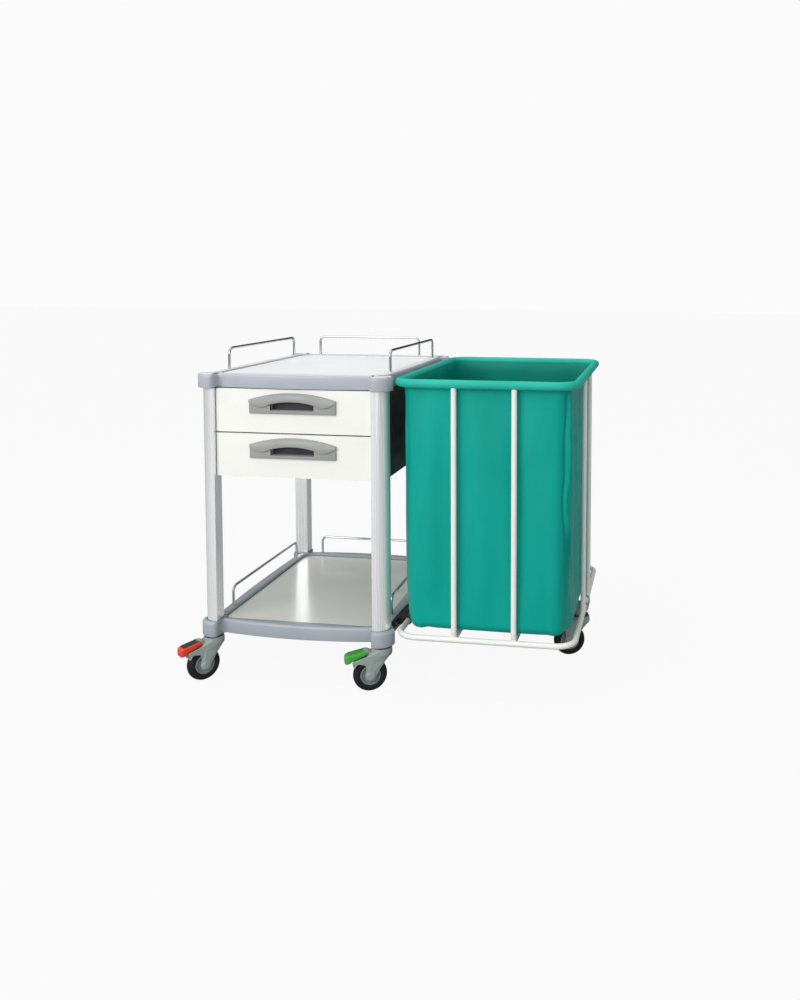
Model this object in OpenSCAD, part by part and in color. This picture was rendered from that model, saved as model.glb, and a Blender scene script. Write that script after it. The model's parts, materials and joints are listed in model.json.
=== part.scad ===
// Hospital ward trolley: two drawers under a railed deck, a railed lower shelf, and a laundry
// bag hanging in a tube frame on the right-hand side. Four swivel casters carry the cart and a
// fifth one carries the bag frame. Millimetres; +X is the right-hand side, -Y the front, and
// the floor is z = 0.

/* [Cart] */
// Width of the cart over its corner bosses
cart_w = 600; // [580:5:620]
// Depth of the cart over its corner bosses
cart_d = 800; // [780:5:840]
// Height of the deck frame's rim above the floor
deck_h = 927; // [902:5:952]
// Height of the shelf frame's rim above the floor
shelf_h = 178.5; // [176:0.5:184]
// How far a corner boss reaches out from its column's axis
boss_out = 36; // [35:0.5:38]
// Width of a column's section
column_w = 45; // [42:1:48]
// How far the rims bow outwards at the front and back
front_bow = 20; // [10:1:20]
// How far the rims bow outwards at the sides
side_bow = 8; // [6:1:9]

/* [Rails] */
// Diameter of the rail wire
wire_d = 8; // [6:0.5:9]
// Height of the deck rails above their rim
deck_rail_h = 69; // [50:1:90]
// Height of the shelf rails above their rim
shelf_rail_h = 64; // [50:1:90]
// Bend radius of the rail wire
rail_bend = 18; // [14:1:24]

/* [Drawers] */
// Height of a drawer front
drawer_front_h = 129; // [125:1:129]
// Thickness of a drawer front
drawer_front_t = 18; // [16:1:20]
// Height of a drawer box
drawer_box_h = 95; // [80:1:96]
// Length of a drawer box
drawer_len = 600; // [540:10:620]
// Length of a handle
handle_w = 266; // [220:2:280]

/* [Bag frame] */
// Width of the tube rings between tube centres
ring_w = 518; // [480:2:540]
// Depth of the tube rings between tube centres
ring_d = 770; // [740:2:780]
// Diameter of the ring tube
tube_d = 17; // [17:0.5:19]
// Diameter of the upright tubes
upright_d = 16; // [15:0.5:16.5]
// Wall of the frame tubes
tube_wall = 1.5; // [1:0.25:2.5]
// Height of the lower ring's tube centre
ring_low = 170; // [168:1:176]
// Height of the upper ring's tube centre
ring_high = 911; // [870:1:915]
// Corner radius of the rings
ring_corner = 57; // [50:1:65]
// Distance between the two uprights on one side
upright_gap = 174.5; // [140:0.5:200]

/* [Laundry bag] */
// Height of the bag's floor
bag_floor = 194; // [192:1:220]
// Thickness of the bag's fabric in this solid
bag_wall = 2.5; // [2:0.5:4]

/* [Casters] */
// Wheel diameter
wheel_d = 100; // [98:1:100]
// Tread width
wheel_w = 32; // [28:1:32]
// Distance from the swivel axis back to the wheel axle
trail = 35; // [34:1:36]
// Heading of the front left caster, from +X
front_left_heading = 230; // [215:5:245]
// Heading of the front right caster, from +X
front_right_heading = 205; // [0:5:355]
// Heading of the rear left caster, from +X
rear_left_heading = 215; // [0:5:355]
// Heading of the rear right caster, from +X
rear_right_heading = 210; // [0:5:355]
// Heading of the bag frame's caster, from +X
hamper_heading = 195; // [0:5:355]

/* [Hidden] */
$fn = 96;
fit_gap = 0.05;
end_cut = 1;

// cart
stem_x = cart_w / 2 - boss_out;
stem_y = cart_d / 2 - boss_out;
bay_x = stem_x - column_w / 2;
bay_y = stem_y - column_w / 2;
boss_in = 25;
boss_corner = 46;
rim_inset = 19;
rim_x = cart_w / 2 - rim_inset;
rim_y = cart_d / 2 - rim_inset;
deck_frame_h = 42;
deck_under = deck_h - deck_frame_h;
shelf_frame_h = 42.5;
shelf_under = shelf_h - shelf_frame_h;
boss_under = shelf_under - 3;
recess_w = 2 * (rim_x - 33);
recess_d = 2 * (rim_y - 36);
recess_corner = 40;
panel_t = 4;
panel_drop_deck = 4.5;
panel_drop_shelf = 10;
ledge = 14;
panel_gap = 0.5;
column_corner = 36;
column_wall = 2.5;
socket_depth = 6;
socket_gap = 0.6;
tie_rod_r = 5;
tie_rod_low = boss_under + 27;

// rails
wire_r = wire_d / 2;
side_rail_x = cart_w / 2 - 42;
side_rail_front = -cart_d / 2 + 158;
side_rail_back = cart_d / 2 - 125;
rear_rail_x = 188;
rear_rail_y = rim_y - 23;
nut_r = 7;
nut_h = 6;
nut_pocket_r = 8.5;
nut_pocket_h = 9;

// drawers and cabinet
cabinet_h = 265;
cabinet_low = deck_under - cabinet_h;
cabinet_side_x = stem_x + 9;
sheet = 1.5;
front_side_gap = 2;
front_y = cart_d / 2 - 27;
front_back_y = front_y - drawer_front_t;
lower_front_z = cabinet_low + 1;
upper_front_z = lower_front_z + 133;
box_half_w = bay_x - 14;
box_lift = 13;
runner_lift = box_lift + 48;
handle_proud = 14;
handle_low = 57.5;
handle_end_top = 98.5;
handle_top = 119;
slot_half_w = 68;
slot_low = 66.5;
slot_end_top = 82;
slot_top = 89;
cup_wall = 2;
cup_depth = drawer_front_t - 1;
screw_r = 2;
screw_head_r = 4;
screw_head_h = 2.5;

// bag frame
tube_r = tube_d / 2;
upright_r = upright_d / 2;
ring_x = cart_w / 2 + 14 + ring_w / 2;
ring_right = ring_x + ring_w / 2;
u_bend = 30;
clamp_y = 215;
clamp_half = 42;
clamp_low = ring_low - 13;
clamp_h = 20;
clamp_seat_x = rim_x - 8;
clamp_foot_half = 80;
clamp_foot_t = 10;
clamp_screw_r = 2.5;
clamp_screw_y = 62;
clamp_screw_l = 8;
hamper_stem_x = ring_right - 17;
bracket_t = 5;
bracket_top = ring_low - tube_r;

// laundry bag
cuff_r = 12;
cuff_bore_r = tube_r + 0.8;
cuff_skirt = 12;
bag_inset = 17;
bag_corner = ring_corner - bag_inset;

// casters
wheel_r = wheel_d / 2;
hub_r = 30;
axle_r = 4;
stem_r = 6;
stem_top = boss_under + 25;
housing_r = 31;
housing_top = boss_under - 5;
housing_low = housing_top - 22;
arm_in = wheel_w / 2 + 2.5;
arm_t = 4;
arm_foot_r = 17;
pedal_pivot_x = 38;
pedal_pivot_z = housing_low + 6;
trunnion_r = 3;
ear_in = 13;
ear_t = 5;
ear_l = 18;
ear_h = 16;
pedal_block_half = 12;
pedal_root_x = 44;
pedal_root_z = 125;
pedal_tip_x = 109;
pedal_slope = 0.187;
pedal_skirt = 12;
pedal_half_w = 20;
pedal_wall = 3;

// place: the origin is on the floor, under the middle of the whole trolley
left_reach = stem_x - pedal_tip_x * cos(front_left_heading) - pedal_half_w * sin(front_left_heading);
front_reach = stem_y - pedal_tip_x * sin(front_left_heading) - pedal_half_w * cos(front_left_heading);
cart_x = (left_reach - ring_right - cuff_r) / 2;
cart_y = (front_reach - cart_d / 2) / 2;

// ---------------------------------------------------------------- places and shapes

// Radius of the arc that rises by rise over a chord of this length
function bow_radius(chord, rise) = (chord * chord / 4 + rise * rise) / (2 * rise);

module at_cart() translate([cart_x, cart_y, 0]) children();

module at_hamper() translate([cart_x + ring_x, cart_y, 0]) children();

// One copy at each corner of the cart, mirrored so that +x, +y points outwards
module each_corner() {
    for (side = [0, 1], end = [0, 1])
        mirror([side, 0, 0]) mirror([0, end, 0]) translate([stem_x, stem_y, 0]) children();
}

// One copy on each side of the plane x = 0
module both_sides() {
    for (side = [0, 1])
        mirror([side, 0, 0]) children();
}

module rounded_plan(w, d, r) {
    square([w - 2 * r, d], center = true);
    square([w, d - 2 * r], center = true);
    for (sx = [-1, 1], sy = [-1, 1])
        translate([sx * (w / 2 - r), sy * (d / 2 - r)]) circle(r = r);
}

// Outline of the moulded frames between their bosses: four shallow arcs
module bowed_plan() {
    front_r = bow_radius(2 * (stem_x - boss_out), front_bow);
    side_r = bow_radius(2 * (stem_y - boss_out), side_bow);
    intersection() {
        translate([0, front_r - rim_y]) circle(r = front_r, $fn = 1440);
        translate([0, rim_y - front_r]) circle(r = front_r, $fn = 1440);
        translate([side_r - rim_x, 0]) circle(r = side_r, $fn = 2880);
        translate([rim_x - side_r, 0]) circle(r = side_r, $fn = 2880);
    }
}

// Sweeps a profile round a rounded rectangle. The profile's x points outwards from the path.
module ring_sweep(w, d, r) {
    for (i = [0 : 3]) {
        side_w = i % 2 == 0 ? w : d;
        side_d = i % 2 == 0 ? d : w;
        rotate([0, 0, 90 * i]) {
            translate([r - side_w / 2, side_d / 2, 0])
                rotate([90, 0, 90]) linear_extrude(side_w - 2 * r) children();
            translate([side_w / 2 - r, side_d / 2 - r, 0])
                rotate_extrude(angle = 90) translate([r, 0]) children();
        }
    }
}

// ---------------------------------------------------------------- frames, panels, columns

// A square from (low, low), of side w, with one large radius at its far corner
module quarter_round(low, w, r) {
    flat = w - r;
    translate([low, low]) square([w, flat]);
    translate([low, low]) square([flat, w]);
    translate([low + flat, low + flat]) intersection() {
        circle(r = r);
        square(r);
    }
}

// Section of a column about its axis, with its large radius towards +x, +y
module column_outline(w, r) quarter_round(-w / 2, w, r);

module rail_feet_places() {
    both_sides()
        for (y = [side_rail_front, side_rail_back])
            translate([side_rail_x, y, 0]) children();
    both_sides()
        translate([rear_rail_x, rear_rail_y, 0]) children();
}

// A moulded frame: bowed rim, recess with a ledge for its panel, open middle, corner bosses
module moulded_frame(under, height, boss_low, panel_drop) {
    recess_z = under + height - panel_drop - panel_t;
    difference() {
        union() {
            translate([0, 0, under]) linear_extrude(height) bowed_plan();
            each_corner() translate([0, 0, boss_low])
                linear_extrude(under + height - boss_low) quarter_round(-boss_in, boss_in + boss_out, boss_corner);
        }
        translate([0, 0, recess_z])
            linear_extrude(panel_drop + panel_t + end_cut) rounded_plan(recess_w, recess_d, recess_corner);
        translate([0, 0, under - end_cut])
            linear_extrude(height) rounded_plan(recess_w - 2 * ledge, recess_d - 2 * ledge, recess_corner - ledge);
        rail_feet_places() {
            translate([0, 0, under - end_cut]) cylinder(r = wire_r + fit_gap, h = height + 2 * end_cut);
            translate([0, 0, under - end_cut]) cylinder(r = nut_pocket_r, h = nut_pocket_h + end_cut);
        }
    }
}

// A panel lying in its frame's recess
module recess_panel(top) {
    translate([0, 0, top - panel_t])
        linear_extrude(panel_t)
            rounded_plan(recess_w - 2 * panel_gap, recess_d - 2 * panel_gap, recess_corner - panel_gap);
}

module top_frame() color([0.70, 0.71, 0.77]) at_cart() {
    difference() {
        moulded_frame(deck_under, deck_frame_h, deck_under, panel_drop_deck);
        each_corner() {
            translate([0, 0, deck_under - end_cut])
                linear_extrude(socket_depth + end_cut) column_outline(column_w + socket_gap, column_corner);
            translate([0, 0, deck_under]) cylinder(r = tie_rod_r + fit_gap, h = 18);
        }
    }
}

module shelf_frame() color([0.66, 0.69, 0.74]) at_cart() {
    difference() {
        moulded_frame(shelf_under, shelf_frame_h, boss_under, panel_drop_shelf);
        each_corner() {
            translate([0, 0, shelf_h - socket_depth])
                linear_extrude(socket_depth + end_cut) column_outline(column_w + socket_gap, column_corner);
            translate([0, 0, tie_rod_low]) cylinder(r = tie_rod_r + fit_gap, h = shelf_frame_h);
            translate([0, 0, boss_under - end_cut])
                cylinder(r = stem_r + fit_gap, h = stem_top - boss_under + end_cut);
        }
        for (sy = [-1, 1])
            translate([clamp_seat_x, sy * clamp_y - clamp_foot_half - fit_gap, clamp_low - fit_gap])
                cube([20, 2 * (clamp_foot_half + fit_gap), clamp_h + 2 * fit_gap]);
        clamp_screw_places() translate([0, 0, -clamp_screw_l - fit_gap])
            cylinder(r = clamp_screw_r + fit_gap, h = clamp_screw_l + end_cut);
    }
}

module deck_panel() color([0.95, 0.96, 0.97]) at_cart() recess_panel(deck_h - panel_drop_deck);

module shelf_panel() color([0.75, 0.75, 0.72]) at_cart() recess_panel(shelf_h - panel_drop_shelf);

// Hollow column between the two frames, on the corner given by its mirrored side and end
module column(side, end) color([0.86, 0.86, 0.87]) at_cart() {
    low = shelf_h - socket_depth;
    difference() {
        mirror([side, 0, 0]) mirror([0, end, 0]) translate([stem_x, stem_y, low])
            linear_extrude(deck_under + socket_depth - low)
                difference() {
                    column_outline(column_w, column_corner);
                    column_outline(column_w - 2 * column_wall, column_corner - column_wall);
                }
        cover_screw_places() translate([0, 0, -column_wall - end_cut])
            cylinder(r = screw_r + fit_gap, h = column_wall + 2 * end_cut);
    }
}

module column_front_left() column(1, 1);
module column_front_right() column(0, 1);
module column_rear_left() column(1, 0);
module column_rear_right() column(0, 0);

// Steel rods inside the columns that pull the two frames together
module tie_rods() color([0.6, 0.6, 0.62]) at_cart() {
    each_corner() translate([0, 0, tie_rod_low])
        cylinder(r = tie_rod_r, h = deck_under + 17 - tie_rod_low);
}

// ---------------------------------------------------------------- guard rails

// A bent wire rail standing in the x-z plane with its feet at x = 0 and x = span
module wire_rail(span, foot_z, top_z) {
    bend_z = top_z - wire_r - rail_bend;
    for (x = [0, span])
        translate([x, 0, foot_z]) cylinder(r = wire_r, h = bend_z - foot_z);
    translate([rail_bend, 0, top_z - wire_r])
        rotate([0, 90, 0]) cylinder(r = wire_r, h = span - 2 * rail_bend);
    translate([span - rail_bend, 0, bend_z])
        rotate([90, 0, 0]) rotate_extrude(angle = 90) translate([rail_bend, 0]) circle(r = wire_r);
    translate([rail_bend, 0, bend_z])
        rotate([90, 0, 0]) rotate([0, 0, 90])
            rotate_extrude(angle = 90) translate([rail_bend, 0]) circle(r = wire_r);
}

module side_rail(side, top_z, under) color([0.82, 0.83, 0.84]) at_cart() {
    mirror([side, 0, 0]) translate([side_rail_x, side_rail_front, 0]) rotate([0, 0, 90])
        wire_rail(side_rail_back - side_rail_front, under + 1, top_z);
}

module rear_rail(top_z, under) color([0.82, 0.83, 0.84]) at_cart() {
    translate([-rear_rail_x, rear_rail_y, 0])
        wire_rail(2 * rear_rail_x, under + 1, top_z);
}

module deck_rail_left() side_rail(1, deck_h + deck_rail_h, deck_under);
module deck_rail_right() side_rail(0, deck_h + deck_rail_h, deck_under);
module deck_rail_rear() rear_rail(deck_h + deck_rail_h, deck_under);
module shelf_rail_left() side_rail(1, shelf_h + shelf_rail_h, shelf_under);
module shelf_rail_right() side_rail(0, shelf_h + shelf_rail_h, shelf_under);
module shelf_rail_rear() rear_rail(shelf_h + shelf_rail_h, shelf_under);

// Hexagon nuts in the pockets under the rims, one on each rail foot
module rail_nuts() color([0.6, 0.6, 0.62]) at_cart() {
    for (under = [deck_under, shelf_under])
        rail_feet_places() translate([0, 0, under + nut_pocket_h - nut_h])
            difference() {
                cylinder(r = nut_r, h = nut_h, $fn = 6);
                translate([0, 0, -end_cut]) cylinder(r = wire_r, h = nut_h + 2 * end_cut);
            }
}

// ---------------------------------------------------------------- cabinet and drawers

// Liner of folded sheet: two inner walls, floor and back, open at the front and top
module cabinet_shell() color([0.93, 0.93, 0.91]) at_cart() {
    liner_h = cabinet_h - 0.5;
    difference() {
        translate([-bay_x, -bay_y, cabinet_low]) cube([2 * bay_x, 2 * bay_y, liner_h]);
        translate([-bay_x + sheet, -bay_y - end_cut, cabinet_low + sheet])
            cube([2 * (bay_x - sheet), 2 * bay_y - sheet + end_cut, liner_h]);
    }
}

// Screw places through the covers' turned-in edges into the columns, with z into the cabinet
module cover_screw_places() {
    both_sides()
        for (end = [0, 1], lift = [40, 225])
            mirror([0, end, 0]) translate([bay_x + 16, -bay_y, cabinet_low + lift])
                rotate([-90, 0, 0]) children();
}

// Outer side covers between the columns, with their edges turned in to the liner
module cabinet_sides() color([0.13, 0.12, 0.12]) at_cart() {
    cover_w = cabinet_side_x - bay_x;
    cover_h = cabinet_h - 0.5;
    difference() {
        both_sides() difference() {
            translate([bay_x, -bay_y, cabinet_low]) cube([cover_w, 2 * bay_y, cover_h]);
            translate([bay_x - end_cut, -bay_y + sheet, cabinet_low + sheet])
                cube([cover_w - sheet + end_cut, 2 * (bay_y - sheet), cover_h]);
        }
        cover_screw_places() translate([0, 0, -end_cut])
            cylinder(r = screw_r + fit_gap, h = sheet + 2 * end_cut);
    }
}

// A runner member: a channel along y, open towards the drawer (open = -1) or away from it (1)
module runner(x_low, x_high, half_h, y_low, y_high, open) {
    cut_x = open < 0 ? x_low - end_cut : x_low + sheet;
    difference() {
        translate([x_low, y_low, -half_h]) cube([x_high - x_low, y_high - y_low, 2 * half_h]);
        translate([cut_x, y_low - end_cut, sheet - half_h])
            cube([x_high - x_low - sheet + end_cut, y_high - y_low + 2 * end_cut, 2 * (half_h - sheet)]);
    }
}

runner_front = -front_back_y + 3;
runner_back = -front_back_y + drawer_len;

module fixed_runners() color([0.72, 0.72, 0.74]) at_cart() {
    for (z = [lower_front_z, upper_front_z])
        both_sides() translate([0, 0, z + runner_lift])
            runner(bay_x - 11.5, bay_x - sheet, 22.5, -bay_y + 1, runner_back, -1);
}

module middle_runners(front_z) color([0.68, 0.68, 0.70]) at_cart() {
    both_sides() translate([0, 0, front_z + runner_lift])
        runner(bay_x - 11, bay_x - sheet - 2, 20.5, -bay_y + 1, runner_back - 40, -1);
}

module upper_middle_runners() middle_runners(upper_front_z);
module lower_middle_runners() middle_runners(lower_front_z);

module drawer_runners(front_z) color([0.72, 0.72, 0.74]) at_cart() {
    both_sides() translate([0, 0, front_z + runner_lift])
        runner(box_half_w, bay_x - sheet - 5, 17.5, runner_front, runner_back - 10, 1);
}

module upper_drawer_runners() drawer_runners(upper_front_z);
module lower_drawer_runners() drawer_runners(lower_front_z);

// Screw places through a drawer's box into its front
module drawer_screw_places(front_z) {
    for (sx = [-1, 1], lift = [35, 90])
        translate([sx * 180, -front_back_y, front_z + lift]) rotate([-90, 0, 0]) children();
}

module drawer_box(front_z) color([0.93, 0.93, 0.91]) at_cart() {
    difference() {
        translate([-box_half_w, -front_back_y, front_z + box_lift])
            cube([2 * box_half_w, drawer_len, drawer_box_h]);
        translate([sheet - box_half_w, sheet - front_back_y, front_z + box_lift + sheet])
            cube([2 * (box_half_w - sheet), drawer_len - 2 * sheet, drawer_box_h]);
        drawer_screw_places(front_z) translate([0, 0, -end_cut]) cylinder(r = screw_r + fit_gap, h = 5);
    }
}

module upper_drawer_box() drawer_box(upper_front_z);
module lower_drawer_box() drawer_box(lower_front_z);

// The opening in a drawer front that takes the handle's cup
module cup_block(front_z, grow, depth) {
    translate([-slot_half_w - cup_wall - grow, -front_y, front_z + slot_low - cup_wall - grow])
        cube([2 * (slot_half_w + cup_wall + grow), depth, slot_top - slot_low + 2 * (cup_wall + grow)]);
}

module drawer_front(front_z) color([0.97, 0.97, 0.95]) at_cart() {
    half_w = bay_x - front_side_gap;
    difference() {
        translate([-half_w, -front_y, front_z]) cube([2 * half_w, drawer_front_t, drawer_front_h]);
        translate([0, -end_cut, 0]) cup_block(front_z, 0.5, drawer_front_t + 2 * end_cut);
        drawer_screw_places(front_z) translate([0, 0, -14]) cylinder(r = screw_r + fit_gap, h = 16);
    }
}

module upper_drawer_front() drawer_front(upper_front_z);
module lower_drawer_front() drawer_front(lower_front_z);

module drawer_screws(front_z) color([0.6, 0.6, 0.62]) at_cart() {
    drawer_screw_places(front_z) {
        translate([0, 0, -13]) cylinder(r = screw_r, h = 13 + sheet);
        translate([0, 0, sheet]) cylinder(r = screw_head_r, h = screw_head_h);
    }
}

module upper_drawer_screws() drawer_screws(upper_front_z);
module lower_drawer_screws() drawer_screws(lower_front_z);

// A shape in the x-z plane with a flat foot and an arched top, measured from the front's edge
module arched_plan(half_w, low, end_top, top) {
    arch_r = bow_radius(2 * half_w, top - end_top);
    intersection() {
        translate([-half_w, low]) square([2 * half_w, top - low]);
        translate([0, top - arch_r]) circle(r = arch_r, $fn = 720);
    }
}

// Arched grip plate with a finger slot, and a closed cup behind the slot
module drawer_handle(front_z) color([0.62, 0.64, 0.66]) at_cart() {
    difference() {
        union() {
            translate([0, -front_y, front_z]) rotate([90, 0, 0])
                linear_extrude(handle_proud) arched_plan(handle_w / 2, handle_low, handle_end_top, handle_top);
            cup_block(front_z, 0, cup_depth);
        }
        translate([0, cup_depth - cup_wall - front_y, front_z]) rotate([90, 0, 0])
            linear_extrude(cup_depth - cup_wall + handle_proud + end_cut)
                arched_plan(slot_half_w, slot_low, slot_end_top, slot_top);
    }
}

module upper_drawer_handle() drawer_handle(upper_front_z);
module lower_drawer_handle() drawer_handle(lower_front_z);

// ---------------------------------------------------------------- bag frame

// Two uprights joined under the bag by a bend at each end, in the plane x = 0
module u_bar(r) {
    for (end = [0, 1])
        mirror([0, end, 0]) {
            translate([0, ring_d / 2, ring_low + u_bend]) cylinder(r = r, h = ring_high - ring_low - u_bend);
            translate([0, ring_d / 2 - u_bend, ring_low + u_bend])
                rotate([90, 0, 90]) rotate([0, 0, -90])
                    rotate_extrude(angle = 90) translate([u_bend, 0]) circle(r = r);
        }
    translate([0, u_bend - ring_d / 2, ring_low]) rotate([-90, 0, 0]) cylinder(r = r, h = ring_d - 2 * u_bend);
}

// The frame's tubes with this much wall taken off their outsides
module hamper_tubes(wall) {
    for (z = [ring_low, ring_high])
        translate([0, 0, z]) ring_sweep(ring_w, ring_d, ring_corner) circle(r = tube_r - wall);
    for (sx = [-1, 1]) {
        translate([sx * upright_gap / 2, 0, 0]) u_bar(upright_r - wall);
        for (sy = [-1, 1])
            translate([sx * ring_w / 2, sy * upright_gap / 2, ring_low])
                cylinder(r = upright_r - wall, h = ring_high - ring_low);
    }
}

// Welded frame of thin-walled tube
module hamper_frame() color([0.93, 0.93, 0.91]) at_hamper() {
    difference() {
        hamper_tubes(0);
        hamper_tubes(tube_wall);
    }
}

// Screw places in the clamps' feet, with z pointing out of the cart's side
module clamp_screw_places() {
    for (y = [-clamp_y, clamp_y], dy = [-clamp_screw_y, clamp_screw_y])
        translate([clamp_seat_x, y + dy, clamp_low + clamp_h / 2]) rotate([0, 90, 0]) children();
}

// Clamps that hold the lower ring's near tube against the side of the shelf frame
module hamper_clamps() color([0.12, 0.12, 0.12]) at_cart() {
    ring_near = ring_x - ring_w / 2;
    for (sy = [-1, 1])
        difference() {
            union() {
                translate([clamp_seat_x, sy * clamp_y - clamp_foot_half, clamp_low])
                    cube([clamp_foot_t, 2 * clamp_foot_half, clamp_h]);
                translate([clamp_seat_x, sy * clamp_y - clamp_half, clamp_low])
                    cube([ring_near - clamp_seat_x, 2 * clamp_half, clamp_h]);
                translate([ring_near, sy * clamp_y - clamp_half, ring_low])
                    rotate([-90, 0, 0]) cylinder(r = tube_r + 4, h = 2 * clamp_half);
            }
            translate([ring_near, sy * clamp_y - clamp_half - end_cut, ring_low])
                rotate([-90, 0, 0]) cylinder(r = tube_r, h = 2 * (clamp_half + end_cut));
            clamp_screw_places() translate([0, 0, -end_cut])
                cylinder(r = clamp_screw_r + fit_gap, h = clamp_foot_t + 2 * end_cut);
        }
}

// Plate under the lower ring with two saddles over the tube and a socket for the caster's stem
module caster_bracket() color([0.45, 0.45, 0.46]) at_cart() {
    saddle_y = 34;
    saddle_w = 14;
    difference() {
        union() {
            translate([hamper_stem_x - 26, -saddle_y - saddle_w / 2, bracket_top - bracket_t])
                cube([54, 2 * saddle_y + saddle_w, bracket_t]);
            translate([hamper_stem_x, 0, boss_under]) cylinder(r = 20, h = bracket_top - boss_under);
            for (sy = [-1, 1])
                translate([ring_right, sy * saddle_y - saddle_w / 2, ring_low]) {
                    rotate([-90, 0, 0]) cylinder(r = tube_r + 2.5, h = saddle_w);
                    translate([-tube_r - 2.5, 0, bracket_top - ring_low - bracket_t])
                        cube([2 * tube_r + 5, saddle_w, ring_low - bracket_top + bracket_t]);
                }
        }
        translate([ring_right, -saddle_y - saddle_w, ring_low])
            rotate([-90, 0, 0]) cylinder(r = tube_r, h = 2 * (saddle_y + saddle_w));
        translate([hamper_stem_x, 0, boss_under - end_cut])
            cylinder(r = stem_r + fit_gap, h = stem_top - boss_under + end_cut);
    }
}

// Screws that hold the side covers to the columns, and the clamps to the shelf frame
module assembly_screws() color([0.6, 0.6, 0.62]) at_cart() {
    cover_screw_places() {
        translate([0, 0, -6]) cylinder(r = screw_r, h = 6 + sheet);
        translate([0, 0, sheet]) cylinder(r = screw_head_r, h = screw_head_h);
    }
    clamp_screw_places() {
        translate([0, 0, -clamp_screw_l]) cylinder(r = clamp_screw_r, h = clamp_screw_l + clamp_foot_t);
        translate([0, 0, clamp_foot_t]) cylinder(r = clamp_screw_r + 2, h = 3);
    }
}

// ---------------------------------------------------------------- laundry bag

// Fabric folded over the upper ring, open below so that it lifts straight off the tube
module bag_cuff_profile() {
    difference() {
        union() {
            circle(r = cuff_r);
            translate([-cuff_r, -cuff_skirt]) square([2 * cuff_r, cuff_skirt]);
        }
        circle(r = cuff_bore_r);
        translate([-cuff_bore_r, -cuff_skirt - end_cut]) square([2 * cuff_bore_r, cuff_skirt + end_cut]);
    }
}

// Open bag: walls and floor as one skin, with a flange out to the cuff at the top
module laundry_bag() color([0.0, 0.60, 0.52]) at_hamper() {
    body_w = ring_w - 2 * bag_inset;
    body_d = ring_d - 2 * bag_inset;
    flange_z = ring_high - cuff_skirt;
    lip_out = bag_inset - cuff_bore_r;
    translate([0, 0, ring_high]) ring_sweep(ring_w, ring_d, ring_corner) bag_cuff_profile();
    difference() {
        union() {
            translate([0, 0, bag_floor]) linear_extrude(flange_z - bag_floor)
                rounded_plan(body_w, body_d, bag_corner);
            translate([0, 0, flange_z - bag_wall]) linear_extrude(bag_wall)
                rounded_plan(body_w + 2 * lip_out, body_d + 2 * lip_out, bag_corner + lip_out);
        }
        translate([0, 0, bag_floor + bag_wall]) linear_extrude(ring_high)
            rounded_plan(body_w - 2 * bag_wall, body_d - 2 * bag_wall, bag_corner - bag_wall);
    }
}

// ---------------------------------------------------------------- casters

// A caster stands with its stem on the z axis and its wheel towards +x
module front_left_place() at_cart() translate([-stem_x, -stem_y, 0]) rotate([0, 0, front_left_heading]) children();
module front_right_place() at_cart() translate([stem_x, -stem_y, 0]) rotate([0, 0, front_right_heading]) children();
module rear_left_place() at_cart() translate([-stem_x, stem_y, 0]) rotate([0, 0, rear_left_heading]) children();
module rear_right_place() at_cart() translate([stem_x, stem_y, 0]) rotate([0, 0, rear_right_heading]) children();
module hamper_place() at_cart() translate([hamper_stem_x, 0, 0]) rotate([0, 0, hamper_heading]) children();

// Stem with a bearing cup above the housing and a head under it that keeps the fork on
module stem() {
    translate([0, 0, housing_low - 5]) cylinder(r = 9, h = 5 - fit_gap);
    translate([0, 0, housing_low - fit_gap]) cylinder(r = stem_r, h = stem_top - housing_low);
    translate([0, 0, housing_top + fit_gap]) cylinder(r = 27, h = boss_under - housing_top - 2 * fit_gap);
}

module caster_stems() color([0.25, 0.25, 0.26]) {
    front_left_place() stem();
    front_right_place() stem();
    rear_left_place() stem();
    rear_right_place() stem();
    hamper_place() stem();
}

// Side view of one fork arm and its guard over the wheel, x along the trail and y up
module arm_plan() {
    polygon([
        [-29, housing_top - 8], [-27, housing_low - 2], [-11, housing_low - 20], [4, wheel_r + 23],
        [trail - 14, wheel_r], [trail + 11, wheel_r + 4], [trail + 14, wheel_r + 25],
        [trail + 16, wheel_r + 34], [trail + 27, wheel_r + 37], [trail + 50, wheel_r + 37],
        [trail + 52, wheel_r + 46], [trail + 49, wheel_r + 48.5], [46, wheel_r + 60.5],
        [30, housing_top - 8]
    ]);
    translate([trail, wheel_r]) circle(r = arm_foot_r);
}

// Side view of the bridge that joins the two guards over the wheel
module bridge_plan() {
    polygon([
        [52, wheel_r + 53], [trail + 50, wheel_r + 43], [trail + 48, wheel_r + 47], [52, wheel_r + 57]
    ]);
}

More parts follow.
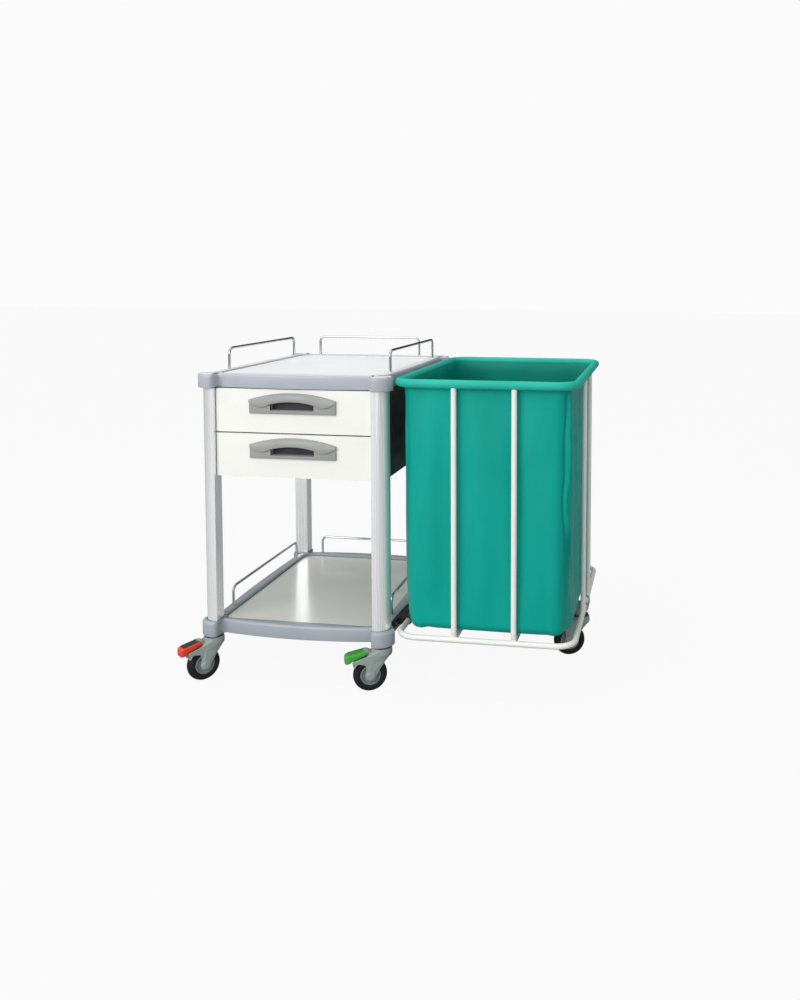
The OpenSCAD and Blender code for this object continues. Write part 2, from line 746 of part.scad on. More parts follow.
module fork(with_ears) color([0.60, 0.63, 0.61]) {
    arm_out = arm_in + arm_t;
    difference() {
        union() {
            translate([0, 0, housing_low]) cylinder(r = housing_r, h = housing_top - housing_low);
            translate([0, -arm_out, housing_low - 4]) cube([46, 2 * arm_out, 5]);
            for (y = [-arm_in, arm_out])
                translate([0, y, 0]) rotate([90, 0, 0]) linear_extrude(arm_t) arm_plan();
            translate([0, arm_out, 0]) rotate([90, 0, 0]) linear_extrude(2 * arm_out) bridge_plan();
            if (with_ears)
                for (y = [-ear_in - ear_t, ear_in])
                    translate([pedal_pivot_x + 6 - ear_l, y, housing_low - 1]) cube([ear_l, ear_t, ear_h]);
        }
        translate([0, 0, housing_low - 5 - end_cut]) cylinder(r = 11, h = 5 + end_cut);
        translate([0, 0, housing_low - end_cut])
            cylinder(r = stem_r + fit_gap, h = housing_top - housing_low + 2 * end_cut);
        translate([trail, arm_out + end_cut, wheel_r]) rotate([90, 0, 0])
            cylinder(r = axle_r + fit_gap, h = 2 * (arm_out + end_cut));
        if (with_ears) {
            translate([pedal_pivot_x - 12, -ear_in, housing_low + 1]) cube([30, 2 * ear_in, 30]);
            translate([pedal_pivot_x, ear_in + ear_t + fit_gap, pedal_pivot_z]) rotate([90, 0, 0])
                cylinder(r = trunnion_r + fit_gap, h = 2 * (ear_in + ear_t + fit_gap));
        }
    }
}

// Axle bolt with its head and nut outside the arms
module axle() color([0.55, 0.55, 0.57]) {
    translate([trail, arm_in + arm_t, wheel_r]) rotate([90, 0, 0])
        cylinder(r = axle_r, h = 2 * (arm_in + arm_t));
    for (y = [-arm_in - arm_t, arm_in + arm_t + 3])
        translate([trail, y, wheel_r]) rotate([90, 0, 0]) cylinder(r = 7, h = 3);
}

// Wheel centre with a bored boss that runs between the arms, a web and a rim
module hub() color([0.60, 0.62, 0.61]) translate([trail, 0, wheel_r]) rotate([90, 0, 0]) {
    boss_half = arm_in - 0.4;
    rim_half = wheel_w / 2 - 2;
    difference() {
        union() {
            translate([0, 0, -rim_half]) cylinder(r = hub_r, h = 2 * rim_half);
            translate([0, 0, -boss_half]) cylinder(r = 11, h = 2 * boss_half);
        }
        for (z = [-rim_half - end_cut, 4])
            translate([0, 0, z]) difference() {
                cylinder(r = hub_r - 4, h = rim_half - 4 + end_cut);
                translate([0, 0, -end_cut]) cylinder(r = 13, h = rim_half + 3 * end_cut);
            }
        translate([0, 0, -boss_half - end_cut]) cylinder(r = axle_r + fit_gap, h = 2 * (boss_half + end_cut));
    }
}

// Tyre with a crowned tread
module tyre() color([0.13, 0.13, 0.12]) translate([trail, 0, wheel_r]) rotate([90, 0, 0])
    rotate_extrude()
        intersection() {
            translate([hub_r, -wheel_w / 2]) square([wheel_r - hub_r, wheel_w]);
            translate([wheel_r - 22, 0]) circle(r = 22);
        }

// Height of the pedal's top at this distance from the swivel axis
function pedal_top(x) = pedal_root_z - pedal_slope * (x - pedal_root_x);

// Side view of the pedal's pad, with its skirt reaching down beyond the fork's guard
module pad_plan() {
    bend_x = pedal_tip_x - 16;
    polygon([
        [pedal_root_x, pedal_root_z], [pedal_tip_x - 6, pedal_top(pedal_tip_x - 6)],
        [pedal_tip_x, pedal_top(pedal_tip_x) - 4], [pedal_tip_x, pedal_top(pedal_tip_x) - 23],
        [bend_x + 3, pedal_top(pedal_tip_x) - 23], [bend_x, pedal_top(bend_x) - pedal_skirt],
        [pedal_root_x, pedal_root_z - pedal_skirt]
    ]);
}

// Foot pedal: a block on two trunnions, and a pad that is hollow underneath
module pedal(pad_color) color(pad_color) {
    root_in = pedal_root_x + 4;
    tip_in = pedal_tip_x - pedal_wall;
    translate([pedal_pivot_x - 6, -pedal_block_half, pedal_pivot_z - 2.5])
        cube([pedal_root_x - pedal_pivot_x + 7, 2 * pedal_block_half, pedal_root_z - pedal_pivot_z + 2]);
    translate([pedal_pivot_x, ear_in + ear_t - 0.5, pedal_pivot_z]) rotate([90, 0, 0])
        cylinder(r = trunnion_r, h = 2 * (ear_in + ear_t) - 1);
    difference() {
        translate([0, pedal_half_w, 0]) rotate([90, 0, 0]) linear_extrude(2 * pedal_half_w) pad_plan();
        translate([0, pedal_half_w - pedal_wall, 0]) rotate([90, 0, 0])
            linear_extrude(2 * (pedal_half_w - pedal_wall))
                polygon([
                    [root_in, pedal_top(root_in) - pedal_wall], [tip_in, pedal_top(tip_in) - pedal_wall - 3],
                    [tip_in, wheel_r], [root_in, wheel_r]
                ]);
    }
}

module front_left_fork() front_left_place() fork(true);
module front_left_axle() front_left_place() axle();
module front_left_hub() front_left_place() hub();
module front_left_tyre() front_left_place() tyre();
module front_left_pedal() front_left_place() pedal([0.85, 0.22, 0.12]);
module front_right_fork() front_right_place() fork(true);
module front_right_axle() front_right_place() axle();
module front_right_hub() front_right_place() hub();
module front_right_tyre() front_right_place() tyre();
module front_right_pedal() front_right_place() pedal([0.22, 0.62, 0.20]);
module rear_left_fork() rear_left_place() fork(false);
module rear_left_axle() rear_left_place() axle();
module rear_left_hub() rear_left_place() hub();
module rear_left_tyre() rear_left_place() tyre();
module rear_right_fork() rear_right_place() fork(false);
module rear_right_axle() rear_right_place() axle();
module rear_right_hub() rear_right_place() hub();
module rear_right_tyre() rear_right_place() tyre();
module hamper_fork() hamper_place() fork(false);
module hamper_axle() hamper_place() axle();
module hamper_hub() hamper_place() hub();
module hamper_tyre() hamper_place() tyre();

top_frame();
deck_panel();
shelf_frame();
shelf_panel();
column_front_left();
column_front_right();
column_rear_left();
column_rear_right();
tie_rods();
deck_rail_left();
deck_rail_right();
deck_rail_rear();
shelf_rail_left();
shelf_rail_right();
shelf_rail_rear();
rail_nuts();
cabinet_shell();
cabinet_sides();
fixed_runners();
assembly_screws();
upper_drawer_box();
upper_drawer_front();
upper_drawer_handle();
upper_drawer_runners();
upper_drawer_screws();
upper_middle_runners();
lower_drawer_box();
lower_drawer_front();
lower_drawer_handle();
lower_drawer_runners();
lower_drawer_screws();
lower_middle_runners();
hamper_frame();
hamper_clamps();
caster_bracket();
laundry_bag();
caster_stems();
front_left_fork();
front_left_axle();
front_left_hub();
front_left_tyre();
front_left_pedal();
front_right_fork();
front_right_axle();
front_right_hub();
front_right_tyre();
front_right_pedal();
rear_left_fork();
rear_left_axle();
rear_left_hub();
rear_left_tyre();
rear_right_fork();
rear_right_axle();
rear_right_hub();
rear_right_tyre();
hamper_fork();
hamper_axle();
hamper_hub();
hamper_tyre();
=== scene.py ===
"""Looks for a ward trolley with two drawers and a laundry bag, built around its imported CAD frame.

Lengths are metres in the row frame: +X is the trolley's right, -Y its front, +Z up.
"""

import json
import math

import bmesh
import bpy
from mathutils import Matrix, Vector, noise


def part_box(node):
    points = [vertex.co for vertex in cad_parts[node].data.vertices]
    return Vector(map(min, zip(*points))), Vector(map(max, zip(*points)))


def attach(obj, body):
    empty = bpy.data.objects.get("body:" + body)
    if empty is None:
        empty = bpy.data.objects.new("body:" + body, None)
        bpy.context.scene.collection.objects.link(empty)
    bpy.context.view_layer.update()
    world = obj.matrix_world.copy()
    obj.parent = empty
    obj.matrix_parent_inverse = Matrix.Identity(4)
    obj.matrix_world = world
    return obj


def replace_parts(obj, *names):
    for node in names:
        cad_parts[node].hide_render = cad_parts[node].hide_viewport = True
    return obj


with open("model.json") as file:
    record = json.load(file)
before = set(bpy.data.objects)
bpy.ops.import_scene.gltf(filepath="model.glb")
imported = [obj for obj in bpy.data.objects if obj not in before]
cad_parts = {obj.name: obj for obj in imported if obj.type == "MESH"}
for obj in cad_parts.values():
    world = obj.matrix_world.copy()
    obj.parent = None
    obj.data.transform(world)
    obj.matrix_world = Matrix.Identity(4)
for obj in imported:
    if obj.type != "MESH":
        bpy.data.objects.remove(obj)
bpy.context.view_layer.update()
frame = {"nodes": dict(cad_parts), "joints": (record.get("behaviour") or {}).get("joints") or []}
nodes = frame["nodes"]
joints = {j["name"]: j for j in frame["joints"]}

MM = 0.001
UP = Vector((0, 0, 1))


# ------------------------------------------------------------------ places, from the frame


def middle(node):
    """Centre of a CAD node's box."""
    low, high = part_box(node)
    return (low + high) / 2


CART = middle("top_frame")
DECK_LOW, DECK_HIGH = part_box("top_frame")
SHELF_LOW, SHELF_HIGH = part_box("shelf_frame")
BOSS_OUT = 36 * MM
BOSS_IN = 25 * MM
BOSS_CORNER = 46 * MM
STEM_X = (DECK_HIGH.x - DECK_LOW.x) / 2 - BOSS_OUT
STEM_Y = (DECK_HIGH.y - DECK_LOW.y) / 2 - BOSS_OUT
RIM_INSET = 19 * MM
RIM_X = STEM_X + BOSS_OUT - RIM_INSET
RIM_Y = STEM_Y + BOSS_OUT - RIM_INSET
FRONT_BOW = 20 * MM
SIDE_BOW = 8 * MM
RECESS_X = RIM_X - 33 * MM
RECESS_Y = RIM_Y - 36 * MM
RECESS_CORNER = 40 * MM
LEDGE = 14 * MM
FRAME_HEIGHTS = {"top_frame": 42 * MM, "shelf_frame": 42.5 * MM}
COLUMN_HALF = 22.5 * MM
COLUMN_CORNER = 36 * MM
COLUMN_EDGE = 0.5 * MM

TUBES_LOW, TUBES_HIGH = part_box("hamper_frame")
BAG_LOW, BAG_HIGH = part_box("laundry_bag")
TUBE_R = 8.5 * MM
UPRIGHT_R = 8 * MM
RING_X = (TUBES_LOW.x + TUBES_HIGH.x) / 2
RING_Y = (TUBES_LOW.y + TUBES_HIGH.y) / 2
RING_HALF_W = (TUBES_HIGH.x - TUBES_LOW.x) / 2 - TUBE_R
RING_HALF_D = (TUBES_HIGH.y - TUBES_LOW.y) / 2 - TUBE_R
RING_TOP = TUBES_HIGH.z - TUBE_R
RING_LOW = TUBES_LOW.z + TUBE_R
RING_CORNER = 57 * MM
UPRIGHT_OFFSET = 87.25 * MM
BAG_FLOOR = BAG_LOW.z

CASTERS = ("front_left", "front_right", "rear_left", "rear_right", "hamper")
HOUSING_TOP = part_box("rear_left_fork")[1].z


def at_cart(point, z):
    """A plan point of the cart, lifted to z, in the row frame."""
    return Vector((CART.x + point.x, CART.y + point.y, z))


# ------------------------------------------------------------------ material helpers


def linear(red, green, blue):
    """Linear colour from 8-bit screen values."""
    values = []
    for value in (red, green, blue):
        share = value / 255
        values.append(share / 12.92 if share <= 0.04045 else ((share + 0.055) / 1.055) ** 2.4)
    return (*values, 1.0)


def scaled(colour, factor):
    """A colour made lighter or darker."""
    return (*[min(1.0, part * factor) for part in colour[:3]], 1.0)


class Shading:
    """A node tree, with short ways to add the nodes that the materials and the backdrop share."""

    def __init__(self, tree):
        self.tree = tree

    def node(self, kind, **values):
        """Adds a node. Each value is a number, a colour or a socket for the input of that name."""
        node = self.tree.nodes.new(f"ShaderNode{kind}")
        for key, value in values.items():
            self.feed(node.inputs[key.replace("_", " ")], value)
        return node

    def feed(self, socket, value):
        if isinstance(value, bpy.types.NodeSocket):
            self.tree.links.new(value, socket)
        else:
            socket.default_value = value

    def maths(self, operation, *values):
        node = self.node("Math")
        node.operation = operation
        for socket, value in zip(node.inputs, values):
            self.feed(socket, value)
        return node.outputs["Value"]

    def split(self, vector):
        """The X, Y and Z outputs of a vector."""
        return self.node("SeparateXYZ", Vector=vector).outputs

    def ramp(self, factor, low, high, start=0.35, end=0.65, kind="LINEAR"):
        """Maps factor from start to end onto low to high."""
        node = self.node("MapRange", Value=factor, From_Min=start, From_Max=end, To_Min=low, To_Max=high)
        node.interpolation_type = kind
        return node.outputs["Result"]

    def for_camera(self):
        """1 for what the camera sees directly, 0 for light and reflections."""
        return self.node("LightPath").outputs["Is Camera Ray"]

    def mixed(self, factor, first, second):
        """A shader that goes from first to second with factor."""
        mix = self.node("MixShader", Fac=factor)
        self.feed(mix.inputs[1], first)
        self.feed(mix.inputs[2], second)
        return mix.outputs["Shader"]


class Finish(Shading):
    """A procedural material: one principled shader and the nodes that feed it."""

    def __init__(self, name, colour, roughness, metallic=0.0, **inputs):
        self.material = bpy.data.materials.new(name)
        self.material.use_nodes = True
        self.material.diffuse_color = colour
        super().__init__(self.material.node_tree)
        self.shader = self.tree.nodes["Principled BSDF"]
        inputs.update(Base_Color=colour, Roughness=roughness, Metallic=metallic)
        for key, value in inputs.items():
            self.feed(self.shader.inputs[key.replace("_", " ")], value)
        self.colour = colour
        self.normal = None
        self.place = self.node("TexCoord").outputs["Object"]

    def noise(self, scale, detail=3.0, stretch=None, distortion=0.0):
        """Noise at this many features a metre, scaled differently along each axis if stretched."""
        place = self.place
        if stretch:
            place = self.node("Mapping", Vector=place, Scale=stretch).outputs["Vector"]
        node = self.node("TexNoise", Vector=place, Scale=scale, Detail=detail, Distortion=distortion)
        return node.outputs["Fac"]

    def grain(self, scale):
        """Distance to the nearest of this many cells a metre."""
        return self.node("TexVoronoi", Vector=self.place, Scale=scale).outputs["Distance"]

    def blend(self, factor, other, weight=1.0):
        """Mixes the colour so far towards other where factor is high."""
        node = self.node("Mix")
        node.data_type = "RGBA"
        self.feed(node.inputs["Factor"], self.maths("MULTIPLY", factor, weight))
        self.feed(node.inputs["A"], self.colour)
        self.feed(node.inputs["B"], other)
        self.colour = node.outputs["Result"]
        self.feed(self.shader.inputs["Base Color"], self.colour)

    def roughness(self, factor, low, high, start=0.35, end=0.65):
        self.feed(self.shader.inputs["Roughness"], self.ramp(factor, low, high, start, end))

    def bump(self, height, depth):
        """Raises the surface by depth metres where height is 1."""
        node = self.node("Bump", Height=height, Distance=depth)
        if self.normal is not None:
            self.feed(node.inputs["Normal"], self.normal)
        self.normal = node.outputs["Normal"]
        self.feed(self.shader.inputs["Normal"], self.normal)


# ------------------------------------------------------------------ materials


FINE_GRAIN = 0.05 * MM
COARSE_GRAIN = 0.07 * MM
SATIN = (0.36, 0.48)
CAST = (0.34, 0.5)
PEDAL_GLOSS = (0.3, 0.42)
MATT = (0.45, 0.6)
THREAD_PITCH = 1.1 * MM


def moulded_plastic(name, colour, grain=FINE_GRAIN, roughness=(0.32, 0.44)):
    """Injection-moulded plastic: fine leather grain, faint flow mottling, softly scuffed."""
    finish = Finish(name, colour, 0.38)
    mottle = finish.noise(9, 2)
    finish.blend(finish.ramp(mottle, 0, 1), scaled(colour, 0.93))
    scuffs = finish.noise(60, 5, stretch=(1, 1, 5), distortion=1.5)
    finish.blend(finish.ramp(scuffs, 0, 1, 0.66, 0.8), scaled(colour, 1.12), 0.5)
    finish.roughness(finish.noise(25, 4), *roughness)
    finish.bump(finish.grain(900), grain)
    return finish


def paint_top_highlight(finish, colour):
    """Painted highlight: faces that look straight up are blended paler, standing in for the light that falls
    on the rim's top.
    """
    facing = finish.split(finish.node("NewGeometry").outputs["True Normal"])["Z"]
    finish.blend(finish.ramp(facing, 0, 1, 0.93, 0.99), colour)


def brushed_aluminium():
    """Satin anodised extrusion with drawn lines along its length."""
    colour = linear(250, 251, 252)
    finish = Finish("column_aluminium", colour, 0.26, 0.62)
    lines = finish.noise(1100, 2, stretch=(1, 1, 0.002))
    finish.blend(finish.ramp(lines, 0, 1, 0.3, 0.7), scaled(colour, 0.965))
    finish.blend(finish.ramp(finish.noise(5, 2), 0, 1), scaled(colour, 0.98))
    finish.roughness(lines, 0.22, 0.28)
    finish.bump(lines, 0.006 * MM)
    return finish


def bright_metal(name, colour, roughness, variation):
    """Plated or polished metal with faint uneven polish."""
    finish = Finish(name, colour, roughness, 1.0)
    cloud = finish.noise(40, 4)
    finish.blend(finish.ramp(cloud, 0, 1), scaled(colour, 0.9))
    finish.roughness(finish.noise(120, 4), roughness, roughness + variation)
    finish.bump(finish.noise(700, 2), 0.006 * MM)
    return finish


def painted_steel(name, colour, roughness=0.36):
    """Powder coat: orange peel, slight sheen changes, tiny specks."""
    finish = Finish(name, colour, roughness, 0.0, Coat_Weight=0.15, Coat_Roughness=0.25)
    finish.blend(finish.ramp(finish.noise(6, 3), 0, 1), scaled(colour, 0.96))
    finish.blend(finish.ramp(finish.noise(1500, 1), 0, 1, 0.68, 0.8), scaled(colour, 0.85), 0.25)
    finish.roughness(finish.noise(30, 3), roughness - 0.04, roughness + 0.05)
    finish.bump(finish.noise(520, 2), 0.03 * MM)
    return finish


def gloss_sheet(name, colour, roughness, haze, coat):
    """Polished sheet with a clear reflection and hairline cleaning marks."""
    finish = Finish(name, colour, roughness, 0.0, Coat_Weight=coat, Coat_Roughness=0.12)
    finish.blend(finish.ramp(finish.noise(4, 3), 0, 1), scaled(colour, 0.96))
    hairs = finish.noise(30, 6, stretch=(8, 1, 1), distortion=2.0)
    finish.roughness(hairs, roughness, roughness + haze, 0.45, 0.75)
    finish.bump(finish.noise(16, 2), 0.08 * MM)
    return finish


def tyre_rubber():
    """Black rubber, dusty in patches."""
    finish = Finish("tyre_rubber", linear(20, 23, 22), 0.58, Specular_IOR_Level=0.25)
    finish.blend(finish.ramp(finish.noise(70, 4), 0, 1), linear(28, 31, 30))
    finish.blend(finish.ramp(finish.noise(450, 3), 0, 1, 0.6, 0.75), linear(56, 58, 56), 0.3)
    finish.roughness(finish.noise(90, 3), 0.5, 0.74)
    finish.bump(finish.noise(1400, 3), 0.08 * MM)
    return finish


def woven(name, colour, shade):
    """Coated polyester: plain weave, slub streaks, soft sheen."""
    finish = Finish(name, colour, 0.5, Sheen_Weight=0.06, Sheen_Roughness=0.4, Specular_IOR_Level=0.15,
                    Sheen_Tint=scaled(colour, 1.6))
    finish.blend(finish.ramp(finish.noise(5, 3, stretch=(1, 1, 0.35)), 0, 1, 0.3, 0.7), shade)
    slubs = finish.noise(140, 2, stretch=(1, 1, 14))
    finish.blend(finish.ramp(slubs, 0, 1, 0.55, 0.8), scaled(colour, 1.15), 0.3)
    x, y, z = (finish.split(finish.place)[axis] for axis in "XYZ")
    threads = 2 * math.pi / THREAD_PITCH
    warp = finish.maths("SINE", finish.maths("MULTIPLY", finish.maths("ADD", x, y), threads))
    weft = finish.maths("SINE", finish.maths("MULTIPLY", z, threads))
    finish.roughness(finish.noise(40, 3), 0.34, 0.44)
    finish.bump(finish.ramp(finish.maths("MULTIPLY", warp, weft), 0, 1, -1, 1), 0.1 * MM)
    finish.bump(finish.noise(22, 3, stretch=(1, 1, 0.3)), 0.9 * MM)
    return finish


GREY_FRAME = moulded_plastic("moulded_grey", linear(176, 181, 191))
# Painted highlight on the deck frame's upward faces.
paint_top_highlight(GREY_FRAME, linear(236, 238, 241))
# Painted shade: the lower frame is the same grey moulding made darker, for the shade under the deck.
GREY_SHELF_SHADED = moulded_plastic("moulded_grey_painted_shade", linear(165, 172, 181))
DECK_WHITE = gloss_sheet("deck_white", linear(250, 251, 252), 0.5, 0.12, 0.1)
SHELF_SHEET = gloss_sheet("shelf_sheet", linear(238, 238, 231), 0.30, 0.08, 0.5)
ALUMINIUM = brushed_aluminium()
CHROME = bright_metal("chrome_wire", linear(196, 198, 201), 0.06, 0.08)
ZINC = bright_metal("zinc_steel", linear(178, 180, 182), 0.28, 0.14)
DARK_STEEL = bright_metal("stem_dark", linear(92, 93, 96), 0.30, 0.12)
CABINET_WHITE = painted_steel("cabinet_white", linear(236, 236, 232))
CABINET_DARK = painted_steel("cabinet_dark", linear(46, 44, 42), 0.42)
FRONT_WHITE = painted_steel("front_white", linear(240, 240, 234), 0.34)
HANDLE_GREY = moulded_plastic("handle_grey", linear(154, 155, 153), COARSE_GRAIN, SATIN)
# Painted shade: the cup behind the finger slot is near-black for the shade inside the recess.
CUP_PAINTED_SHADE = moulded_plastic("handle_cup_painted_shade", linear(44, 44, 54), COARSE_GRAIN, MATT)
TUBE_WHITE = painted_steel("frame_white", linear(238, 238, 232), 0.33)
BLACK = moulded_plastic("clamp_black", linear(38, 38, 38), COARSE_GRAIN, MATT)
CASTER_GREY = moulded_plastic("caster_grey", linear(146, 158, 154), 0.06 * MM, CAST)
HUB_GREY = moulded_plastic("hub_grey", linear(128, 139, 138), FINE_GRAIN, CAST)
TYRE = tyre_rubber()
RED = moulded_plastic("pedal_red", linear(220, 60, 30), COARSE_GRAIN, PEDAL_GLOSS)
GREEN = moulded_plastic("pedal_green", linear(62, 160, 54), COARSE_GRAIN, PEDAL_GLOSS)
GREEN_TREAD = moulded_plastic("pedal_tread", linear(58, 146, 50), COARSE_GRAIN, (0.4, 0.55))
HANDLE_HOOD = moulded_plastic("handle_hood", linear(144, 148, 145), COARSE_GRAIN, (0.34, 0.46))
THREAD = woven("bag_thread", linear(20, 140, 124), linear(10, 120, 106))
BAG_CLOTH = woven("bag_fabric", linear(0, 166, 152), linear(0, 150, 136))
# Painted shade: the inside of the bag is the same cloth made darker.
BAG_INSIDE_SHADED = woven("bag_inside_painted_shade", linear(0, 138, 122), linear(0, 126, 110))
# Painted highlight: the hem roll is the same cloth made lighter, for the light on its top.
HEM_CLOTH_LIT = woven("bag_hem_painted_highlight", linear(48, 186, 168), linear(30, 172, 154))

CAD_FINISHES = {
    "deck_panel": DECK_WHITE,
    "shelf_panel": SHELF_SHEET,
    "cabinet_shell": CABINET_WHITE,
    "cabinet_sides": CABINET_DARK,
    "hamper_frame": TUBE_WHITE,
    "hamper_clamps": BLACK,
    "caster_bracket": CASTER_GREY,
    "caster_stems": DARK_STEEL,
}
CAD_FINISHES_BY_WORD = (
    ("column", ALUMINIUM),
    ("_rail_", CHROME),
    ("drawer_front", FRONT_WHITE),
    ("drawer_box", CABINET_WHITE),
)


def finish_of(node):
    """The material of a CAD node that stays visible."""
    if node in CAD_FINISHES:
        return CAD_FINISHES[node]
    for word, finish in CAD_FINISHES_BY_WORD:
        if word in node:
            return finish
    return ZINC


def dress_cad_nodes():
    """Gives the CAD nodes their materials. The ones that a piece replaces aren't seen."""
    for name, piece in nodes.items():
        piece.data.materials.clear()
        piece.data.materials.append(finish_of(name).material)


dress_cad_nodes()


# ------------------------------------------------------------------ mesh helpers

WELD = 0.01 * MM


def rotated(points, degrees, place):
    """Points turned about +Z and then moved to place."""
    turn = Matrix.Rotation(math.radians(degrees), 3, "Z")
    return [turn @ Vector(point) + place for point in points]


def new_mesh(name, points, faces):
    mesh = bpy.data.meshes.new(name)
    mesh.from_pydata([tuple(point) for point in points], [], faces)
    return mesh


def turn_faces_out(mesh, weld=0.0):
    """Makes every face look outwards, after merging the points that lie within weld of each other."""
    work = bmesh.new()
    work.from_mesh(mesh)
    if weld:
        bmesh.ops.remove_doubles(work, verts=work.verts, dist=weld)
    bmesh.ops.recalc_face_normals(work, faces=work.faces)
    work.to_mesh(mesh)
    work.free()


def add_object(name, data):
    thing = bpy.data.objects.new(name, data)
    bpy.context.scene.collection.objects.link(thing)
    return thing


def add_piece(name, shape, finishes, body, slot, crease=32, finish_of_face=None):
    """Makes a closed, smooth-shaded mesh that rides on a body, and returns its object."""
    mesh = new_mesh(name, *shape)
    finishes = finishes if isinstance(finishes, (list, tuple)) else [finishes]
    for finish in finishes:
        mesh.materials.append(finish.material)
    if finish_of_face:
        for number, polygon in enumerate(mesh.polygons):
            polygon.material_index = finish_of_face(number)
    turn_faces_out(mesh, WELD)
    mesh.shade_smooth()
    mesh.set_sharp_from_angle(angle=math.radians(crease))
    piece = add_object(name, mesh)
    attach(piece, body)
    return piece


def loft(rings, cap_first=False, cap_last=False, closed=False):
    """Points and quads of a skin over rings with equal counts, each running once round."""
    count = len(rings[0])
    points = [point for ring in rings for point in ring]
    spans = len(rings) if closed else len(rings) - 1
    faces = []
    for row in range(spans):
        here, there = row * count, (row + 1) % len(rings) * count
        for i in range(count):
            j = (i + 1) % count
            faces.append((here + i, here + j, there + j, there + i))
    if cap_first:
        faces.append(tuple(range(count)))
    if cap_last:
        faces.append(tuple(range((len(rings) - 1) * count, len(rings) * count)))
    return points, faces


def joined(parts):
    """One list of points and faces from several."""
    points, faces = [], []
    for more_points, more_faces in parts:
        start = len(points)
        points += list(more_points)
        faces += [tuple(start + i for i in face) for face in more_faces]
    return points, faces


def arc(start, end, steps):
    """Angles in radians from start to end degrees, ends included."""
    return [math.radians(start + (end - start) * i / steps) for i in range(steps + 1)]


def in_mm(*rows):
    """Rows of numbers given in millimetres."""
    return [tuple(value * MM for value in row) for row in rows]


def turns(steps):
    """Angles in radians of a full turn, its end left out."""
    return arc(0, 360, steps)[:-1]


def within(value, low=0.0, high=1.0):
    """The value, held between low and high."""
    return max(low, min(high, value))


def rounded_rectangle(half_w, half_d, radius, corner_steps, side_step):
    """Outline of a rounded rectangle, anticlockwise, as pairs of a point and its outward normal."""
    outline = []
    for quarter in range(4):
        reach_x, reach_y = (half_w, half_d) if quarter % 2 == 0 else (half_d, half_w)
        centre = Vector((reach_x - radius, reach_y - radius))
        turn = Matrix.Rotation(math.radians(90 * quarter), 2)
        run = 2 * (reach_y - radius)
        steps = max(1, round(run / side_step))
        for i in range(steps):
            along = Vector((reach_x, -run / 2 + run * i / steps))
            outline.append((turn @ along, turn @ Vector((1, 0))))
        for angle in arc(0, 90, corner_steps)[:-1]:
            normal = Vector((math.cos(angle), math.sin(angle)))
            outline.append((turn @ (centre + radius * normal), turn @ normal))
    return outline


def tube(path, radius, sides=16, closed=False):
    """Skin of a round tube along a path of points."""
    rings = []
    count = len(path)
    side = None
    for i, point in enumerate(path):
        before = path[i - 1] if closed or i > 0 else point
        after = path[(i + 1) % count] if closed or i < count - 1 else point
        along = (after - before).normalized()
        if side is None:
            side = along.orthogonal().normalized()
        side = (side - along * side.dot(along)).normalized()
        other = along.cross(side)
        rings.append([point + radius * (math.cos(a) * side + math.sin(a) * other) for a in turns(sides)])
    return loft(rings, not closed, not closed, closed)


def lathe(profile, steps, place, axis):
    """Skin of a profile of (radius, height) pairs turned about an axis through place."""
    axis = axis.normalized()
    side = axis.cross(UP if abs(axis.z) < 0.9 else Vector((1, 0, 0))).normalized()
    other = axis.cross(side)
    spokes = [math.cos(a) * side + math.sin(a) * other for a in turns(steps)]
    rings = [[place + axis * height + radius * spoke for spoke in spokes] for radius, height in profile]
    return loft(rings, True, True)


def extruded(outline, low, high, make):
    """Skin of a flat outline of pairs pushed from low to high. make places (u, v, height)."""
    return loft([[make(u, v, h) for u, v in outline] for h in (low, high)], True, True)


def temporary(points, faces):
    """A plain mesh object that is used up while a piece is made."""
    mesh = new_mesh("temporary", points, faces)
    turn_faces_out(mesh)
    return add_object("temporary", mesh)


def evaluated(thing):
    """Points and faces of an object with its modifiers applied."""
    graph = bpy.context.evaluated_depsgraph_get()
    result = thing.evaluated_get(graph)
    mesh = result.to_mesh()
    points = [vertex.co.copy() for vertex in mesh.vertices]
    faces = [tuple(polygon.vertices) for polygon in mesh.polygons]
    result.to_mesh_clear()
    return points, faces


def cast_shape(bodies, cutters, voxel, passes):
    """Melts solids into one casting with softened edges, after cutting the cutters out of it."""
    solid = temporary(*joined(bodies))

    def melt():
        remesh = solid.modifiers.new("melt", "REMESH")
        remesh.mode = "VOXEL"
        remesh.voxel_size = voxel

    melt()
    knives = []
    for cutter in cutters:
        knife = temporary(*cutter)
        knife.hide_render = True
        cut = solid.modifiers.new("cut", "BOOLEAN")
        cut.operation = "DIFFERENCE"
        cut.solver = "EXACT"
        cut.object = knife
        knives.append(knife)
    melt()
    soften = solid.modifiers.new("soften", "SMOOTH")
    soften.factor = 0.5
    soften.iterations = passes
    shape = evaluated(solid)
    for thing in [solid, *knives]:
        bpy.data.objects.remove(thing)
    return shape


def bowed(chord, rise):
    """Radius of the arc that rises by rise over a chord of this length."""
    return (chord * chord / 4 + rise * rise) / (2 * rise)


# ------------------------------------------------------------------ moulded frames

FRONT_R = bowed(2 * (STEM_X - BOSS_OUT), FRONT_BOW)
SIDE_R = bowed(2 * (STEM_Y - BOSS_OUT), SIDE_BOW)
FILLET = 14 * MM
EDGE_R = 8 * MM
UNDER_BEVEL = 3 * MM
LIP_R = 1.5 * MM
BOSS_ROUND = 13 * MM
RIM_CORNER = 34 * MM
TRACE_STEP = 1.5 * MM
TRACE_CORRECTIONS = 3
NUDGE = 0.05 * MM
STRAIGHT_STEPS = 20
CORNER_STEPS = 110
DARK_RING_IN = 0.05 * MM
LIP_INSIDE = 2.4 * MM


def rounded_distance(over_x, over_y, radius):
    """Distance outside a corner of two edges, rounded off by radius."""
    over_x += radius
    over_y += radius
    return math.hypot(max(over_x, 0), max(over_y, 0)) + min(max(over_x, over_y), 0) - radius


